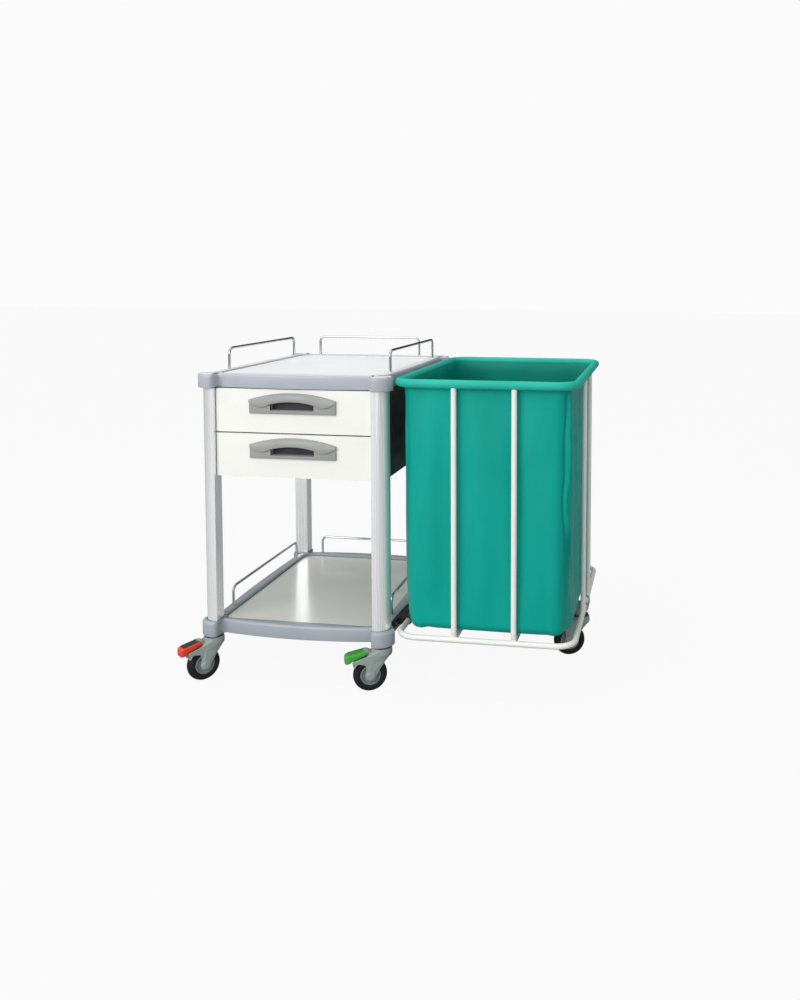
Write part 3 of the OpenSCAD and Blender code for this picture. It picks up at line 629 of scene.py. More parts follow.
def rim_distance(x, y):
    """Distance outside the four shallow arcs of a rim, negative inside."""
    front = math.hypot(x, abs(y) + FRONT_R - RIM_Y) - FRONT_R
    side = math.hypot(y, abs(x) + SIDE_R - RIM_X) - SIDE_R
    return rounded_distance(side, front, RIM_CORNER)


def boss_distance(x, y):
    """Distance outside the nearest corner boss, negative inside."""
    x, y = abs(x) - STEM_X, abs(y) - STEM_Y
    flat = BOSS_OUT - BOSS_CORNER
    if x > flat and y > flat:
        return math.hypot(x - flat, y - flat) - BOSS_CORNER
    half = (BOSS_OUT + BOSS_IN) / 2
    over_x = abs(x - (BOSS_OUT - half)) - half
    over_y = abs(y - (BOSS_OUT - half)) - half
    return rounded_distance(over_x, over_y, BOSS_ROUND)


def frame_distance(x, y):
    """Distance outside the rim and its bosses, which run into each other with a fillet."""
    rim, boss = rim_distance(x, y), boss_distance(x, y)
    overlap = max(FILLET - abs(rim - boss), 0) / FILLET
    return min(rim, boss) - overlap * overlap * FILLET / 4


def outline_quarter(inset):
    """A quarter of the line that lies inset inside the frame's outline, from its side to its back."""
    path = []
    spot = Vector((RIM_X - inset, 0))
    while spot.x > 0:
        for _ in range(TRACE_CORRECTIONS):
            slope_x = frame_distance(spot.x + NUDGE, spot.y) - frame_distance(spot.x - NUDGE, spot.y)
            slope_y = frame_distance(spot.x, spot.y + NUDGE) - frame_distance(spot.x, spot.y - NUDGE)
            normal = Vector((slope_x, slope_y)).normalized()
            spot = spot - normal * (frame_distance(spot.x, spot.y) + inset)
        path.append(spot)
        spot = spot + Vector((-normal.y, normal.x)) * TRACE_STEP
    path[0].y = 0
    path.append(Vector((0, path[-1].y)))
    corner = next(i for i, p in enumerate(path) if p.y > RECESS_Y - RECESS_CORNER)
    back = next(i for i, p in enumerate(path) if i > corner and p.x < RECESS_X - RECESS_CORNER)
    side_points = spaced(path[:corner + 1], STRAIGHT_STEPS)
    corner_points = spaced(path[corner:back + 1], CORNER_STEPS)
    back_points = spaced(path[back:], STRAIGHT_STEPS)
    return side_points[:-1] + corner_points[:-1] + back_points


def spaced(path, steps):
    """Points at equal distances along a path, from its start to its end."""
    reached = [0.0]
    for first, second in zip(path, path[1:]):
        reached.append(reached[-1] + (second - first).length)
    points = []
    number = 0
    for i in range(steps + 1):
        target = reached[-1] * i / steps
        while number < len(path) - 2 and reached[number + 1] < target:
            number += 1
        share = (target - reached[number]) / (reached[number + 1] - reached[number])
        points.append(path[number].lerp(path[number + 1], min(1, share)))
    return points


def recess_quarter():
    """A quarter of the recess's outline and its outward directions, in steps that face the outer edge."""
    centre = Vector((RECESS_X - RECESS_CORNER, RECESS_Y - RECESS_CORNER))
    points, normals = [], []
    for i in range(STRAIGHT_STEPS):
        points.append(Vector((RECESS_X, centre.y * i / STRAIGHT_STEPS)))
        normals.append(Vector((1, 0)))
    for i in range(CORNER_STEPS + 1):
        share = 2 * i / CORNER_STEPS - 1
        angle = math.pi / 4 * (1 + share * (0.25 + 0.75 * abs(share)))
        normal = Vector((math.cos(angle), math.sin(angle)))
        points.append(centre + normal * RECESS_CORNER)
        normals.append(normal)
    for i in range(1, STRAIGHT_STEPS + 1):
        points.append(Vector((centre.x * (1 - i / STRAIGHT_STEPS), RECESS_Y)))
        normals.append(Vector((0, 1)))
    return points, normals


def mirrored(quarter):
    """The whole ring of a quarter that runs from the side to the back."""
    there, back = quarter[:-1], quarter[:0:-1]
    ring = []
    for points, side_x, side_y in ((there, 1, 1), (back, -1, 1), (there, -1, -1), (back, 1, -1)):
        ring += [Vector((p.x * side_x, p.y * side_y)) for p in points]
    return ring


def frame_rings(under, top, boss_low, recess_z):
    """Rings round a moulded frame, from its opening under the rim, over it, and back."""
    recess = list(zip(*[mirrored(quarter) for quarter in recess_quarter()]))
    edge = [(EDGE_R * (1 - math.cos(a)), top - EDGE_R * (1 - math.sin(a))) for a in arc(0, 90, 7)]
    bevel = [(UNDER_BEVEL, under), (UNDER_BEVEL * 0.3, under + UNDER_BEVEL * 0.3), (0, under + UNDER_BEVEL)]
    rings = [[at_cart(p - n * LEDGE, under) for p, n in recess]]
    for inset, z in bevel + edge:
        ring = []
        for spot in mirrored(outline_quarter(inset)):
            step = rim_distance(spot.x, spot.y) - boss_distance(spot.x, spot.y)
            share = within(step / FILLET + 0.5) if z < top - 2 * EDGE_R else 0
            ring.append(at_cart(spot, z - (under - boss_low) * share))
        rings.append(ring)
    for out, drop in ((LIP_R, 0), (LIP_R * 0.3, LIP_R * 0.3), (0, LIP_R)):
        rings.append([at_cart(p + n * out, top - drop) for p, n in recess])
    rings.append([at_cart(p, recess_z) for p, n in recess])
    rings.append([at_cart(p - n * LEDGE, recess_z) for p, n in recess])
    return rings


def add_moulded_frame(node, finish, boss_low, panel):
    """A frame moulded in one piece: a bowed rim with a soft edge, and rounded corner bosses."""
    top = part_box(node)[1].z
    recess_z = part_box(panel)[0].z
    under = top - FRAME_HEIGHTS[node]
    shape = loft(frame_rings(under, top, boss_low, recess_z), closed=True)
    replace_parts(add_piece(f"{node}_moulding", shape, finish, "cart", "moulded_grey", 40), node)


def column_outline(grow):
    """Outline of a column's section, its large radius at +x, +y, made larger all round by grow."""
    low, high = -COLUMN_HALF - grow, COLUMN_HALF + grow
    small = COLUMN_EDGE + grow
    large = COLUMN_CORNER + grow
    corners = (
        (high, high, large, 0),
        (low, high, small, 90),
        (low, low, small, 180),
        (high, low, small, 270),
    )
    outline = []
    for x, y, radius, start in corners:
        centre_x = x - radius if x > 0 else x + radius
        centre_y = y - radius if y > 0 else y + radius
        for angle in arc(start, start + 90, 10):
            outline.append((centre_x + radius * math.cos(angle), centre_y + radius * math.sin(angle)))
    return outline


def collar(inner, outer, low, high):
    """A ring round a column's section with a rounded top, about the column's axis."""
    middle_grow = (inner + outer) / 2
    crown = (high - low) * 0.3
    profile = ((inner, low), (outer, low), (outer, high - crown), (middle_grow, high), (inner, high - crown))
    return loft([[(x, y, z) for x, y in column_outline(grow)] for grow, z in profile], closed=True)


def at_corners(shape):
    """Copies of a shape at the cart's four corners, mirrored so that +x, +y points outwards."""
    points, faces = shape
    parts = []
    for sx in (-1, 1):
        for sy in (-1, 1):
            moved = [at_cart(Vector((sx * (STEM_X + x), sy * (STEM_Y + y))), z) for x, y, z in points]
            parts.append((moved, faces))
    return joined(parts)


def add_column_collars():
    """Raised lip round the foot of each column, a black ring inside it that is painted shade for the groove
    where the column enters, and a black ring under the deck.
    """
    top = SHELF_HIGH.z
    lip = collar(LIP_INSIDE, LIP_INSIDE + 3.2 * MM, top - MM, top + 1.6 * MM)
    # The lip takes the darkened grey too, as painted shade under the deck.
    add_piece("column_lips", at_corners(lip), GREY_SHELF_SHADED, "cart", "moulded_grey")
    # Painted shade: the thin black ring at the column's foot stands in for the shade in the groove inside the
    # lip.
    foot_groove_shade = collar(DARK_RING_IN, 2.2 * MM, top - MM, top + 0.9 * MM)
    head_dark_ring = collar(DARK_RING_IN, 1.6 * MM, DECK_LOW.z - 1.2 * MM, DECK_LOW.z + 0.5 * MM)
    dark_rings = joined([at_corners(foot_groove_shade), at_corners(head_dark_ring)])
    add_piece("column_dark_rings", dark_rings, BLACK, "cart", "clamp_black")


def add_panel_groove_shade(name, panel):
    """Thin black strip between a panel and the wall of its recess: painted shade for the groove there."""
    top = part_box(panel)[1].z + 0.5 * MM
    outline = rounded_rectangle(RECESS_X, RECESS_Y, RECESS_CORNER, 16, 60 * MM)
    profile = in_mm((-0.1, 0), (-2.0, 0), (-2.0, -0.6), (-1.6, -1.2), (-0.1, -1.2))
    rings = [[at_cart(p + n * out, top + drop) for p, n in outline] for out, drop in profile]
    # Painted shade: a black strip in the groove round the panel.
    add_piece(name, loft(rings, closed=True), BLACK, "cart", "clamp_black")


# ------------------------------------------------------------------ drawer handles

GRIP_HALF = 133 * MM
GRIP_FOOT = 57.5 * MM
GRIP_END = 98.5 * MM
GRIP_TOP = 119 * MM
GRIP_PLATE = 8 * MM
GRIP_HOOD = 14 * MM
GRIP_EDGE = 2 * MM
SLOT_HALF = 68 * MM
SLOT_FOOT = 66.5 * MM
SLOT_MIDDLE = 84 * MM
SLOT_END = 85 * MM
SLOT_TOP = 93.5 * MM
CUP_DEPTH = 15 * MM
HOOD_DIP = 95 * MM
HOOD_DIP_Z = 77 * MM
HOOD_CURL = 14 * MM
HOOD_ROOT = GRIP_PLATE - 1.5 * MM


def arch(x, half, end_top, top):
    """Height of a shallow arch at x."""
    radius = bowed(2 * half, top - end_top)
    return top - radius + math.sqrt(radius * radius - x * x)


def grip_top(x):
    return arch(x, GRIP_HALF, GRIP_END, GRIP_TOP)


def slot_top(x):
    return arch(x, SLOT_HALF, SLOT_END, SLOT_TOP)


def hood_edge(x):
    """Height of the hood's lower edge: along the slot's arch, then dipping and curling up."""
    x = abs(x)
    if x <= SLOT_HALF:
        return slot_top(x)
    if x <= HOOD_DIP:
        share = (HOOD_DIP - x) / (HOOD_DIP - SLOT_HALF)
        return HOOD_DIP_Z + (slot_top(SLOT_HALF) - HOOD_DIP_Z) * share * share
    return HOOD_DIP_Z + HOOD_CURL * ((x - HOOD_DIP) / (GRIP_HALF - HOOD_DIP)) ** 2.2


def arched_outline(half, low, top, steps=24, sides=4):
    """Outline with a flat foot and an arched top, anticlockwise from the foot's left end."""
    end = top(half)
    foot = [(-half + 2 * half * i / steps, low) for i in range(steps)]
    right = [(half, low + (end - low) * i / sides) for i in range(sides)]
    over = [(half - 2 * half * i / steps, top(half - 2 * half * i / steps)) for i in range(steps)]
    left = [(-half, end - (end - low) * i / sides) for i in range(sides)]
    return foot + right + over + left


def grip_plate_shape(place):
    """The plate with its slot and the cup behind it, and how many of the first faces are the cup's."""
    outer = arched_outline(GRIP_HALF, GRIP_FOOT, grip_top)
    slot = arched_outline(SLOT_HALF, SLOT_FOOT, slot_top)
    edge = GRIP_EDGE
    rings = []
    for outline, out, shrink in (
        (slot, -CUP_DEPTH, edge),
        (slot, -CUP_DEPTH + edge, 0.4 * edge),
        (slot, GRIP_PLATE - 0.5 * edge, 0),
        (slot, GRIP_PLATE, -0.4 * edge),
        (outer, GRIP_PLATE, edge),
        (outer, GRIP_PLATE - 0.3 * edge, 0.3 * edge),
        (outer, GRIP_PLATE - edge, 0),
        (outer, 0, 0),
        (slot, 0, -0.8 * edge),
        (slot, -CUP_DEPTH - 0.8 * edge, -0.8 * edge),
    ):
        ring = []
        for x, z in outline:
            in_x = math.copysign(shrink, x)
            in_z = math.copysign(shrink, z - SLOT_MIDDLE)
            ring.append(place(x - in_x, out, z - in_z))
        rings.append(ring)
    return loft(rings, cap_first=True, cap_last=True), 2 * len(slot)


def hood_shape(place, steps=96):
    """The arched hood, as sections from its left end to its right one."""
    sections = []
    for i in range(steps + 1):
        x = -GRIP_HALF + 2 * GRIP_HALF * i / steps
        low, high = hood_edge(x), grip_top(x)
        nose = GRIP_PLATE + (GRIP_HOOD - GRIP_PLATE) * (1 - 0.55 * (abs(x) / GRIP_HALF) ** 3)
        foot = low + 0.8 * MM
        section = [place(x, HOOD_ROOT, foot), place(x, nose - 1.2 * MM, low)]
        root = GRIP_PLATE - 0.6 * MM
        for k in range(9):
            share = k / 8
            out = root + (nose - root) * (1 - share ** 2.6)
            section.append(place(x, out, foot + (high - low - 1.3 * MM) * share))
        section.append(place(x, HOOD_ROOT, high - 0.8 * MM))
        sections.append(section)
    return loft(sections, True, True)


def add_handle(drawer):
    """Grip plate with its finger slot and a cup behind it, painted near-black as the shade in the recess,
    under an arched hood that overhangs it.
    """
    front_low, front_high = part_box(f"{drawer}_drawer_front")
    centre_x = (front_low.x + front_high.x) / 2

    def place(x, out, z):
        return Vector((centre_x + x, front_low.y - out, front_low.z + z))

    shape, cup_faces = grip_plate_shape(place)
    cup_back = len(shape[1]) - 2

    # The cup's faces take the near-black painted shade.
    def finish_of_face(number):
        return 1 if number < cup_faces or number == cup_back else 0

    body = f"{drawer}_drawer"
    plate = add_piece(f"{drawer}_grip_plate", shape, (HANDLE_GREY, CUP_PAINTED_SHADE), body, "handle_grey", 30,
                      finish_of_face)
    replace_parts(plate, f"{drawer}_drawer_handle")
    add_piece(f"{drawer}_grip_hood", hood_shape(place), HANDLE_HOOD, body, "handle_grey", 50)


# ------------------------------------------------------------------ laundry bag

BAG_INSET = 17 * MM
BAG_EDGE_R = 17 * MM
HEM_R = 13 * MM
CLOTH_T = 1.6 * MM
BAG_OUT = 3 * MM
BAG_IN = 1.5 * MM
BAG_FLARE = 7 * MM
BAG_CORNER = RING_CORNER - BAG_INSET
WALL_ROWS = 52
FLOOR_ROWS = 14
HELD_ROWS = 4
HANG_FRAMES = 22
BELLY = 5 * MM
BELLY_DRIFT = 20 * MM
FINE_FOLD = 1.5 * MM
FINE_PITCH = 71 * MM
PATCH = 7 * MM
SEAM_AT = 6 * MM
SEAM_LEAN = 9 * MM
SEAM_RIDGE = 5.2 * MM
SEAM_RIDGE_W = 4.5 * MM
SEAM_VALLEY = 4.2 * MM
SEAM_VALLEY_W = 5.5 * MM
HEM_UNEVEN = 0.035
STITCH_PITCH = 7 * MM
STITCH_HALF = 2.2 * MM
STITCH_R = 0.55 * MM


def bag_outline():
    """The upper ring's centre line as points and outward normals, in the bag's own frame."""
    return rounded_rectangle(RING_HALF_W, RING_HALF_D, RING_CORNER, 14, 10 * MM)


def at_ring(point, z):
    return Vector((RING_X + point.x, RING_Y + point.y, z))


def bag_profile():
    """How far in from the ring, and how high, each row of the bag's cloth lies, from the hem down."""
    top = RING_TOP
    rows = [(inset, top - drop) for inset, drop in in_mm((10, 4), (13.5, 12), (15.5, 22), (16.5, 34))]
    bend_z = BAG_FLOOR + BAG_EDGE_R
    start_z = top - 46 * MM
    for i in range(WALL_ROWS + 1):
        share = i / WALL_ROWS
        rows.append((BAG_INSET - BAG_FLARE * share, start_z + (bend_z - start_z) * share))
    inset = BAG_INSET - BAG_FLARE
    for angle in arc(0, 90, 6)[1:]:
        rows.append((inset + BAG_EDGE_R * (1 - math.cos(angle)), bend_z - BAG_EDGE_R * math.sin(angle)))
    return rows


def bag_cloth():
    """Points, faces and rows of the bag's cloth as one sheet: walls, rounded edge and floor."""
    outline = bag_outline()
    rings = [[at_ring(p - n * inset, z) for p, n in outline] for inset, z in bag_profile()]
    edge = rings[-1]
    centre = at_ring(Vector((0, 0)), BAG_FLOOR)
    for i in range(1, FLOOR_ROWS):
        rings.append([point.lerp(centre, i / FLOOR_ROWS) for point in edge])
    points, faces = loft(rings)
    count = len(outline)
    last = (len(rings) - 1) * count
    for i in range(count // 2 - 1):
        faces.append((last + i, last + i + 1, last + count - 2 - i, last + count - 1 - i))
    return points, faces, count


def simulated(points, faces, per_row):
    """Lets the cloth hang from its first rows with a little air in it, and returns its points."""
    cloth = temporary(points, faces)
    held = cloth.vertex_groups.new(name="held")
    held.add(list(range(HELD_ROWS * per_row)), 1.0, "REPLACE")
    hang = cloth.modifiers.new("hang", "CLOTH")
    settings = hang.settings
    settings.quality = 6
    settings.mass = 0.25
    settings.air_damping = 3
    settings.tension_stiffness = 25
    settings.compression_stiffness = 12
    settings.shear_stiffness = 10
    settings.bending_stiffness = 4
    settings.vertex_group_mass = "held"
    settings.use_pressure = True
    settings.uniform_pressure_force = 3.0
    hang.collision_settings.use_collision = False
    hang.collision_settings.use_self_collision = False
    scene = bpy.context.scene
    hang.point_cache.frame_start = 1
    hang.point_cache.frame_end = HANG_FRAMES
    for number in range(1, HANG_FRAMES + 1):
        scene.frame_set(number)
    settled = evaluated(cloth)[0]
    bpy.data.objects.remove(cloth)
    scene.frame_set(1)
    return settled


def held_near(points, settled):
    """The settled points, kept within the room that the bag has between its tubes."""
    result = []
    for before, after in zip(points, settled):
        move = after - before
        outward = Vector((before.x - RING_X, before.y - RING_Y, 0))
        faces_side = abs(outward.x) / RING_HALF_W > abs(outward.y) / RING_HALF_D
        side = Vector((1, 0, 0)) if faces_side else Vector((0, 1, 0))
        side *= math.copysign(1, outward.dot(side))
        out = move.dot(side)
        move += side * (within(out, -BAG_IN, BAG_OUT) - out)
        move.z = within(move.z, -5 * MM, 4 * MM)
        result.append(before + move)
    return result


def from_corner(x, y):
    """Distance round the bag from the middle of its front right corner."""
    side_x = x - (RING_HALF_W - BAG_INSET - BAG_CORNER)
    side_y = y + (RING_HALF_D - BAG_INSET - BAG_CORNER)
    quarter = math.pi / 4 * BAG_CORNER
    if side_y > 0:
        return side_y + quarter
    if side_x < 0:
        return side_x - quarter
    return (math.atan2(side_x, -side_y) - math.pi / 4) * BAG_CORNER


def drop_at(z):
    """How far down the bag a height is, from 0 at the hem to 1 at the floor."""
    return (RING_TOP - z) / (RING_TOP - BAG_FLOOR)


def fold_height(x, y, z):
    """How far the cloth bellies out between the uprights, with looser folds that wander down it."""
    drop = drop_at(z)
    drift = BELLY_DRIFT * math.sin(3.1 * drop + 5 * (x + y)) * drop
    centred = x if abs(y) / RING_HALF_D > abs(x) / RING_HALF_W else y
    belly = math.cos(math.pi * (centred + drift) / UPRIGHT_OFFSET)
    finer = math.sin(2 * math.pi * (x - y - 0.8 * drift) / FINE_PITCH + 1.3)
    patch = noise.noise(Vector((x * 9, y * 9, z * 2.4)))
    height = BELLY * belly + FINE_FOLD * finer * min(1, 0.35 + drop) + PATCH * patch
    return height * within(drop * 4) * within((1.02 - drop) * 5)


def seam_height(x, y, z):
    """Height of the wavy tuck that runs down the cloth beside the front right corner."""
    drop = drop_at(z)
    wave = 5 * MM * math.sin(9 * drop + 0.6) + 2.6 * MM * math.sin(23 * drop)
    away = from_corner(x, y) - SEAM_AT - wave - SEAM_LEAN * drop
    ridge = SEAM_RIDGE * math.exp(-(away / SEAM_RIDGE_W) ** 2)
    valley = SEAM_VALLEY * math.exp(-((away + 2 * SEAM_RIDGE_W) / SEAM_VALLEY_W) ** 2)
    return (ridge - valley) * within(drop * 14) * within((0.9 - drop) * 4)


def add_bag_body():
    """The hanging cloth: simulated, refined, then folded and given its thickness."""
    points, faces, per_row = bag_cloth()
    points = held_near(points, simulated(points, faces, per_row))
    sheet = temporary(points, faces)
    refine = sheet.modifiers.new("refine", "SUBSURF")
    refine.levels = 1
    refine.render_levels = 1
    points, faces = evaluated(sheet)
    bpy.data.objects.remove(sheet)
    mesh = new_mesh("laundry_bag_cloth", points, faces)
    turn_faces_out(mesh)
    normals = [vertex.normal.copy() for vertex in mesh.vertices]
    for vertex, normal in zip(mesh.vertices, normals):
        x, y, z = vertex.co.x - RING_X, vertex.co.y - RING_Y, vertex.co.z
        height = fold_height(x, y, z) + seam_height(x, y, z)
        vertex.co += Vector((normal.x, normal.y, 0)) * height * (1 - abs(normal.z))
    mesh.shade_smooth()
    mesh.materials.append(BAG_CLOTH.material)
    # The inner face gets the darker copy of the cloth: painted shade inside the bag.
    mesh.materials.append(BAG_INSIDE_SHADED.material)
    piece = add_object("laundry_bag_cloth", mesh)
    thicken = piece.modifiers.new("thicken", "SOLIDIFY")
    thicken.thickness = CLOTH_T
    thicken.offset = -1
    thicken.material_offset = 1
    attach(piece, "bag")
    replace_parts(piece, "laundry_bag")


def add_hem():
    """The bag's top edge sewn into a round roll over the ring, slightly uneven along its length."""
    rings = []
    for p, n in bag_outline():
        unevenness = 0.5 + 0.5 * noise.noise(Vector((p.x * 9, p.y * 9, 0.7)))
        radius = HEM_R * (1 - HEM_UNEVEN * unevenness)
        angles = turns(28)
        rings.append([at_ring(p + n * radius * math.cos(a), RING_TOP + radius * math.sin(a)) for a in angles])
    add_piece("laundry_bag_hem", loft(rings, closed=True), HEM_CLOTH_LIT, "bag", "bag_fabric")


def add_stitching():
    """Run of stitches that closes the hem, on the cloth just under the roll."""
    outline = rounded_rectangle(RING_HALF_W, RING_HALF_D, RING_CORNER, 14, STITCH_PITCH)
    inset, z = 11.0 * MM, RING_TOP - 13.6 * MM
    parts = []
    for p, n in outline:
        along = Vector((-n.y, n.x)) * STITCH_HALF
        path = []
        for share in (-1, -0.5, 0.5, 1):
            lift = 0.35 * MM * (1 - share * share)
            path.append(at_ring(p + along * share - n * (inset - lift), z))
        parts.append(tube(path, STITCH_R, 6))
    add_piece("laundry_bag_stitching", joined(parts), THREAD, "bag", "bag_fabric")


# ------------------------------------------------------------------ tube frame details

BEAD_PATH_R = UPRIGHT_R + 0.3 * MM
BEAD_R = 1.5 * MM
BEAD_RIPPLE = 0.25 * MM


def add_weld_beads():
    """Weld beads where the side uprights stand on the lower ring."""
    parts = []
    for sx in (-1, 1):
        for sy in (-1, 1):
            centre = Vector((sx * RING_HALF_W, sy * UPRIGHT_OFFSET))
            path = []
            for angle in turns(40):
                spot = Vector((math.cos(angle), math.sin(angle))) * BEAD_PATH_R
                lift = math.sqrt(TUBE_R ** 2 - spot.x ** 2)
                ripple = BEAD_RIPPLE * math.sin(angle * 13)
                path.append(at_ring(centre + spot, RING_LOW + lift + ripple))
            parts.append(tube(path, BEAD_R, 8, True))
    add_piece("hamper_weld_beads", joined(parts), TUBE_WHITE, "cart", "frame_white")


# ------------------------------------------------------------------ casters

WHEEL_R = 50 * MM
ARM_IN = 18.5 * MM
ARM_OUT = 22.5 * MM
STRAP_IN = 21 * MM
STRAP_OUT = 24.9 * MM
AXLE_BOSS_R = 16 * MM
TRAIL = 35 * MM
PAD_START = 46 * MM
PAD_END = 109 * MM
PAD_HALF = 17.6 * MM
PAD_SLOPE = 0.187
GUARD_SLOPE = 0.3158
TREAD_PITCH = 5.3 * MM
TREAD_HALF = 12.5 * MM
PIVOT_R = 3 * MM
PIVOT_HALF = 17.5 * MM


class Caster:
    """Where one caster stands: its swivel axis, its heading and its wheel's axle."""

    def __init__(self, name):
        self.name = name
        self.stem = Vector(joints[f"{name}_swivel_turn"]["pos_m"])
        self.axle = Vector(joints[f"{name}_wheel_roll"]["pos_m"])
        trail = self.axle - self.stem
        self.heading = math.degrees(math.atan2(trail.y, trail.x))

    def placed(self, shape):
        """A shape made with the stem on +Z and the wheel towards +X, turned to its heading."""
        points, faces = shape
        return rotated(points, self.heading, Vector((self.stem.x, self.stem.y, 0))), faces


def polar(centre_x, centre_z, radius, angle):
    return centre_x + radius * math.cos(angle), centre_z + radius * math.sin(angle)


def circle(centre_x, centre_z, radius, steps=32):
    return [polar(centre_x, centre_z, radius, a) for a in turns(steps)]


def hull_of(points):
    """Skin of the convex hull of some points."""
    work = bmesh.new()
    for point in points:
        work.verts.new(point)
    bmesh.ops.convex_hull(work, input=work.verts)
    work.verts.ensure_lookup_table()
    loose = [v for v in work.verts if not v.link_faces]
    bmesh.ops.delete(work, geom=loose, context="VERTS")
    work.verts.index_update()
    shape = [v.co.copy() for v in work.verts], [tuple(v.index for v in f.verts) for f in work.faces]
    work.free()
    return shape


def across(u, v, height):
    """Places a side view drawn in x and z so that it is pushed along y."""
    return Vector((u, height, v))


def side_plate(low, high, outline):
    """A side view in x and z, pushed along y from low to high."""
    return extruded(outline, low, high, across)


def shoulder_shape():
    """Skin stretched from the housing down to the tops of the arms."""
    points = []
    for radius, drop in in_mm((30.5, 6), (29, 19)):
        points += [(radius * math.cos(a), radius * math.sin(a), HOUSING_TOP - drop) for a in turns(28)]
    for y in (-ARM_OUT, ARM_OUT):
        points += [(x, y, z) for x, z in in_mm((0, 84), (44, 84), (46, 108), (-14, 100))]
    return hull_of(points)


def fork_shape():
    """The fork as a casting: housing, shoulders, two arms down to the axle, and a guard over the wheel."""
    rim = [(radius, HOUSING_TOP - drop) for radius, drop in in_mm((29, 22), (31, 17), (31, 4), (29.5, 0))]
    bodies = [lathe(rim, 48, Vector((0, 0, 0)), UP), shoulder_shape()]
    arm = in_mm((-8, 92), (6, 72), (19, 50), (51, 50), (48, 70), (50, 80), (56, 88), (47, 104), (30, 112),
                (0, 112))
    guard = in_mm((34, 112), (48, 108), (84, 98), (88, 95), (86, 88), (66, 87), (54, 84), (40, 84))
    for low in (-ARM_OUT, ARM_IN):
        for plan in (arm, guard, circle(TRAIL, WHEEL_R, AXLE_BOSS_R)):
            bodies.append(side_plate(low, low + ARM_OUT - ARM_IN, plan))
    bridge = [polar(TRAIL, WHEEL_R, WHEEL_R + 3.4 * MM, a) for a in arc(80, 28, 10)]
    bridge += [polar(TRAIL, WHEEL_R, WHEEL_R + 6.6 * MM, a) for a in arc(28, 80, 10)]
    bodies.append(side_plate(-ARM_OUT, ARM_OUT, bridge))
    dome = in_mm((13, 21), (13, 24.2), (11, 26.2), (6, 26.8))
    strap = in_mm((-4, 112), (4, 84), (22, 62), (27, 45), (43, 45), (42, 66), (38, 86), (32, 108))
    for side in (-1, 1):
        bodies.append(lathe(dome, 32, Vector((TRAIL, 0, WHEEL_R)), Vector((0, side, 0))))
        bodies.append(side_plate(*sorted((side * STRAP_IN, side * STRAP_OUT)), strap))
    inside = ARM_IN - 0.4 * MM
    wheel_room = side_plate(-inside, inside, circle(TRAIL, WHEEL_R, WHEEL_R + 2 * MM, 48))
    rear_room = side_plate(-inside, inside, in_mm((-45, 20), (35, 20), (35, 101), (-45, 101)))
    return cast_shape(bodies, [wheel_room, rear_room], 1.1 * MM, 2)


def wheel_shapes():
    """Hub and tyre as turned profiles about the axle, in the caster's own frame."""
    place = Vector((TRAIL, 0, WHEEL_R))
    axis = Vector((0, 1, 0))
    web = in_mm((30, 12), (29.2, 14.2), (28, 14.6), (26, 14.4), (24.6, 11.5), (22, 9.8), (16, 9.8),
                (13.6, 11.2), (12, 14.5), (11, 18), (4.05, 18.1))
    hub = [(radius, -y) for radius, y in reversed(web)] + web
    side = in_mm((29.9, 11.5), (31, 13.4), (32.6, 14.9), (35, 15.8), (38, 16), (41, 15.4), (44, 13.6),
                 (46.6, 11), (48.5, 7.6), (49.6, 3.8), (50, 0))
    tyre = [(radius, -y) for radius, y in side] + side[-2::-1]
    return lathe_ring(hub, 64, place, axis), lathe_ring(tyre, 72, place, axis)


def lathe_ring(profile, steps, place, axis):
    """A turned profile that closes on itself round a hole."""
    points, faces = lathe(profile, steps, place, axis)
    faces = faces[:-2]
    last = (len(profile) - 1) * steps
    for i in range(steps):
        j = (i + 1) % steps
        faces.append((i, j, last + j, last + i))
    return points, faces


def pedal_top(x):
    return 125 * MM - PAD_SLOPE * (x - 44 * MM)


def squared_ring(x, half_w, low, high, power, steps):
    """A ring across the pedal at x that is squarer than an ellipse, the more so the lower the power."""
    ring = []
    for a in turns(steps):
        u = math.copysign(abs(math.cos(a)) ** power, math.cos(a))
        v = math.copysign(abs(math.sin(a)) ** power, math.sin(a))
        ring.append(Vector((x, half_w * u, (low + high) / 2 + (high - low) / 2 * v)))
    return ring


def pad_rings():
    """Sections of a pedal's pad, rounded at its tip, its underside between the guards."""
    rings = []
    steps = 20
    for i in range(steps + 1):
        x = PAD_START + (PAD_END - PAD_START) * i / steps
        to_tip = within((x - (PAD_END - 9 * MM)) / (9 * MM), 0, 0.985)
        round_off = 1 - math.sqrt(1 - to_tip ** 2)
        half_w = PAD_HALF - 7 * MM * round_off
        top = pedal_top(x) - 4 * MM * round_off
        guard = 109 * MM - GUARD_SLOPE * (x - 46 * MM)
        low = guard - 4 * MM * within((x - 86 * MM) / (7 * MM)) + 6 * MM * round_off
        low += 2.4 * MM * within(1 - (x - PAD_START) / (24 * MM))
        rings.append(squared_ring(x, half_w, low, top, 0.35, 24))
    return rings


def tread_shapes():
    """A thin pad on the pedal's top with ribs across it."""
    pad = []
    foot, bevel = -1.5 * MM, 0.3 * MM
    sections = in_mm((49, 13, -1), (50, 14.4, 0.5), (97, 14.4, 0.5), (101, 12, 0.2), (102, 11, -1))
    for x, half_w, top in sections:
        corners = ((-1, foot), (1, foot), (1, top - bevel), (0.93, top), (-0.93, top), (-1, top - bevel))
        pad.append([Vector((x, side * half_w, pedal_top(x) + up)) for side, up in corners])
    parts = [loft(pad, True, True)]
    section = in_mm((-1.3, 0), (-1, 1.15), (0, 1.4), (1, 1.15), (1.3, 0))
    for number in range(9):
        x = 53 * MM + TREAD_PITCH * number
        ends = []
        for y in (-TREAD_HALF, TREAD_HALF):
            ends.append([Vector((x + dx, y, pedal_top(x + dx) + dz)) for dx, dz in section])
        parts.append(loft(ends, True, True))
    return joined(parts)


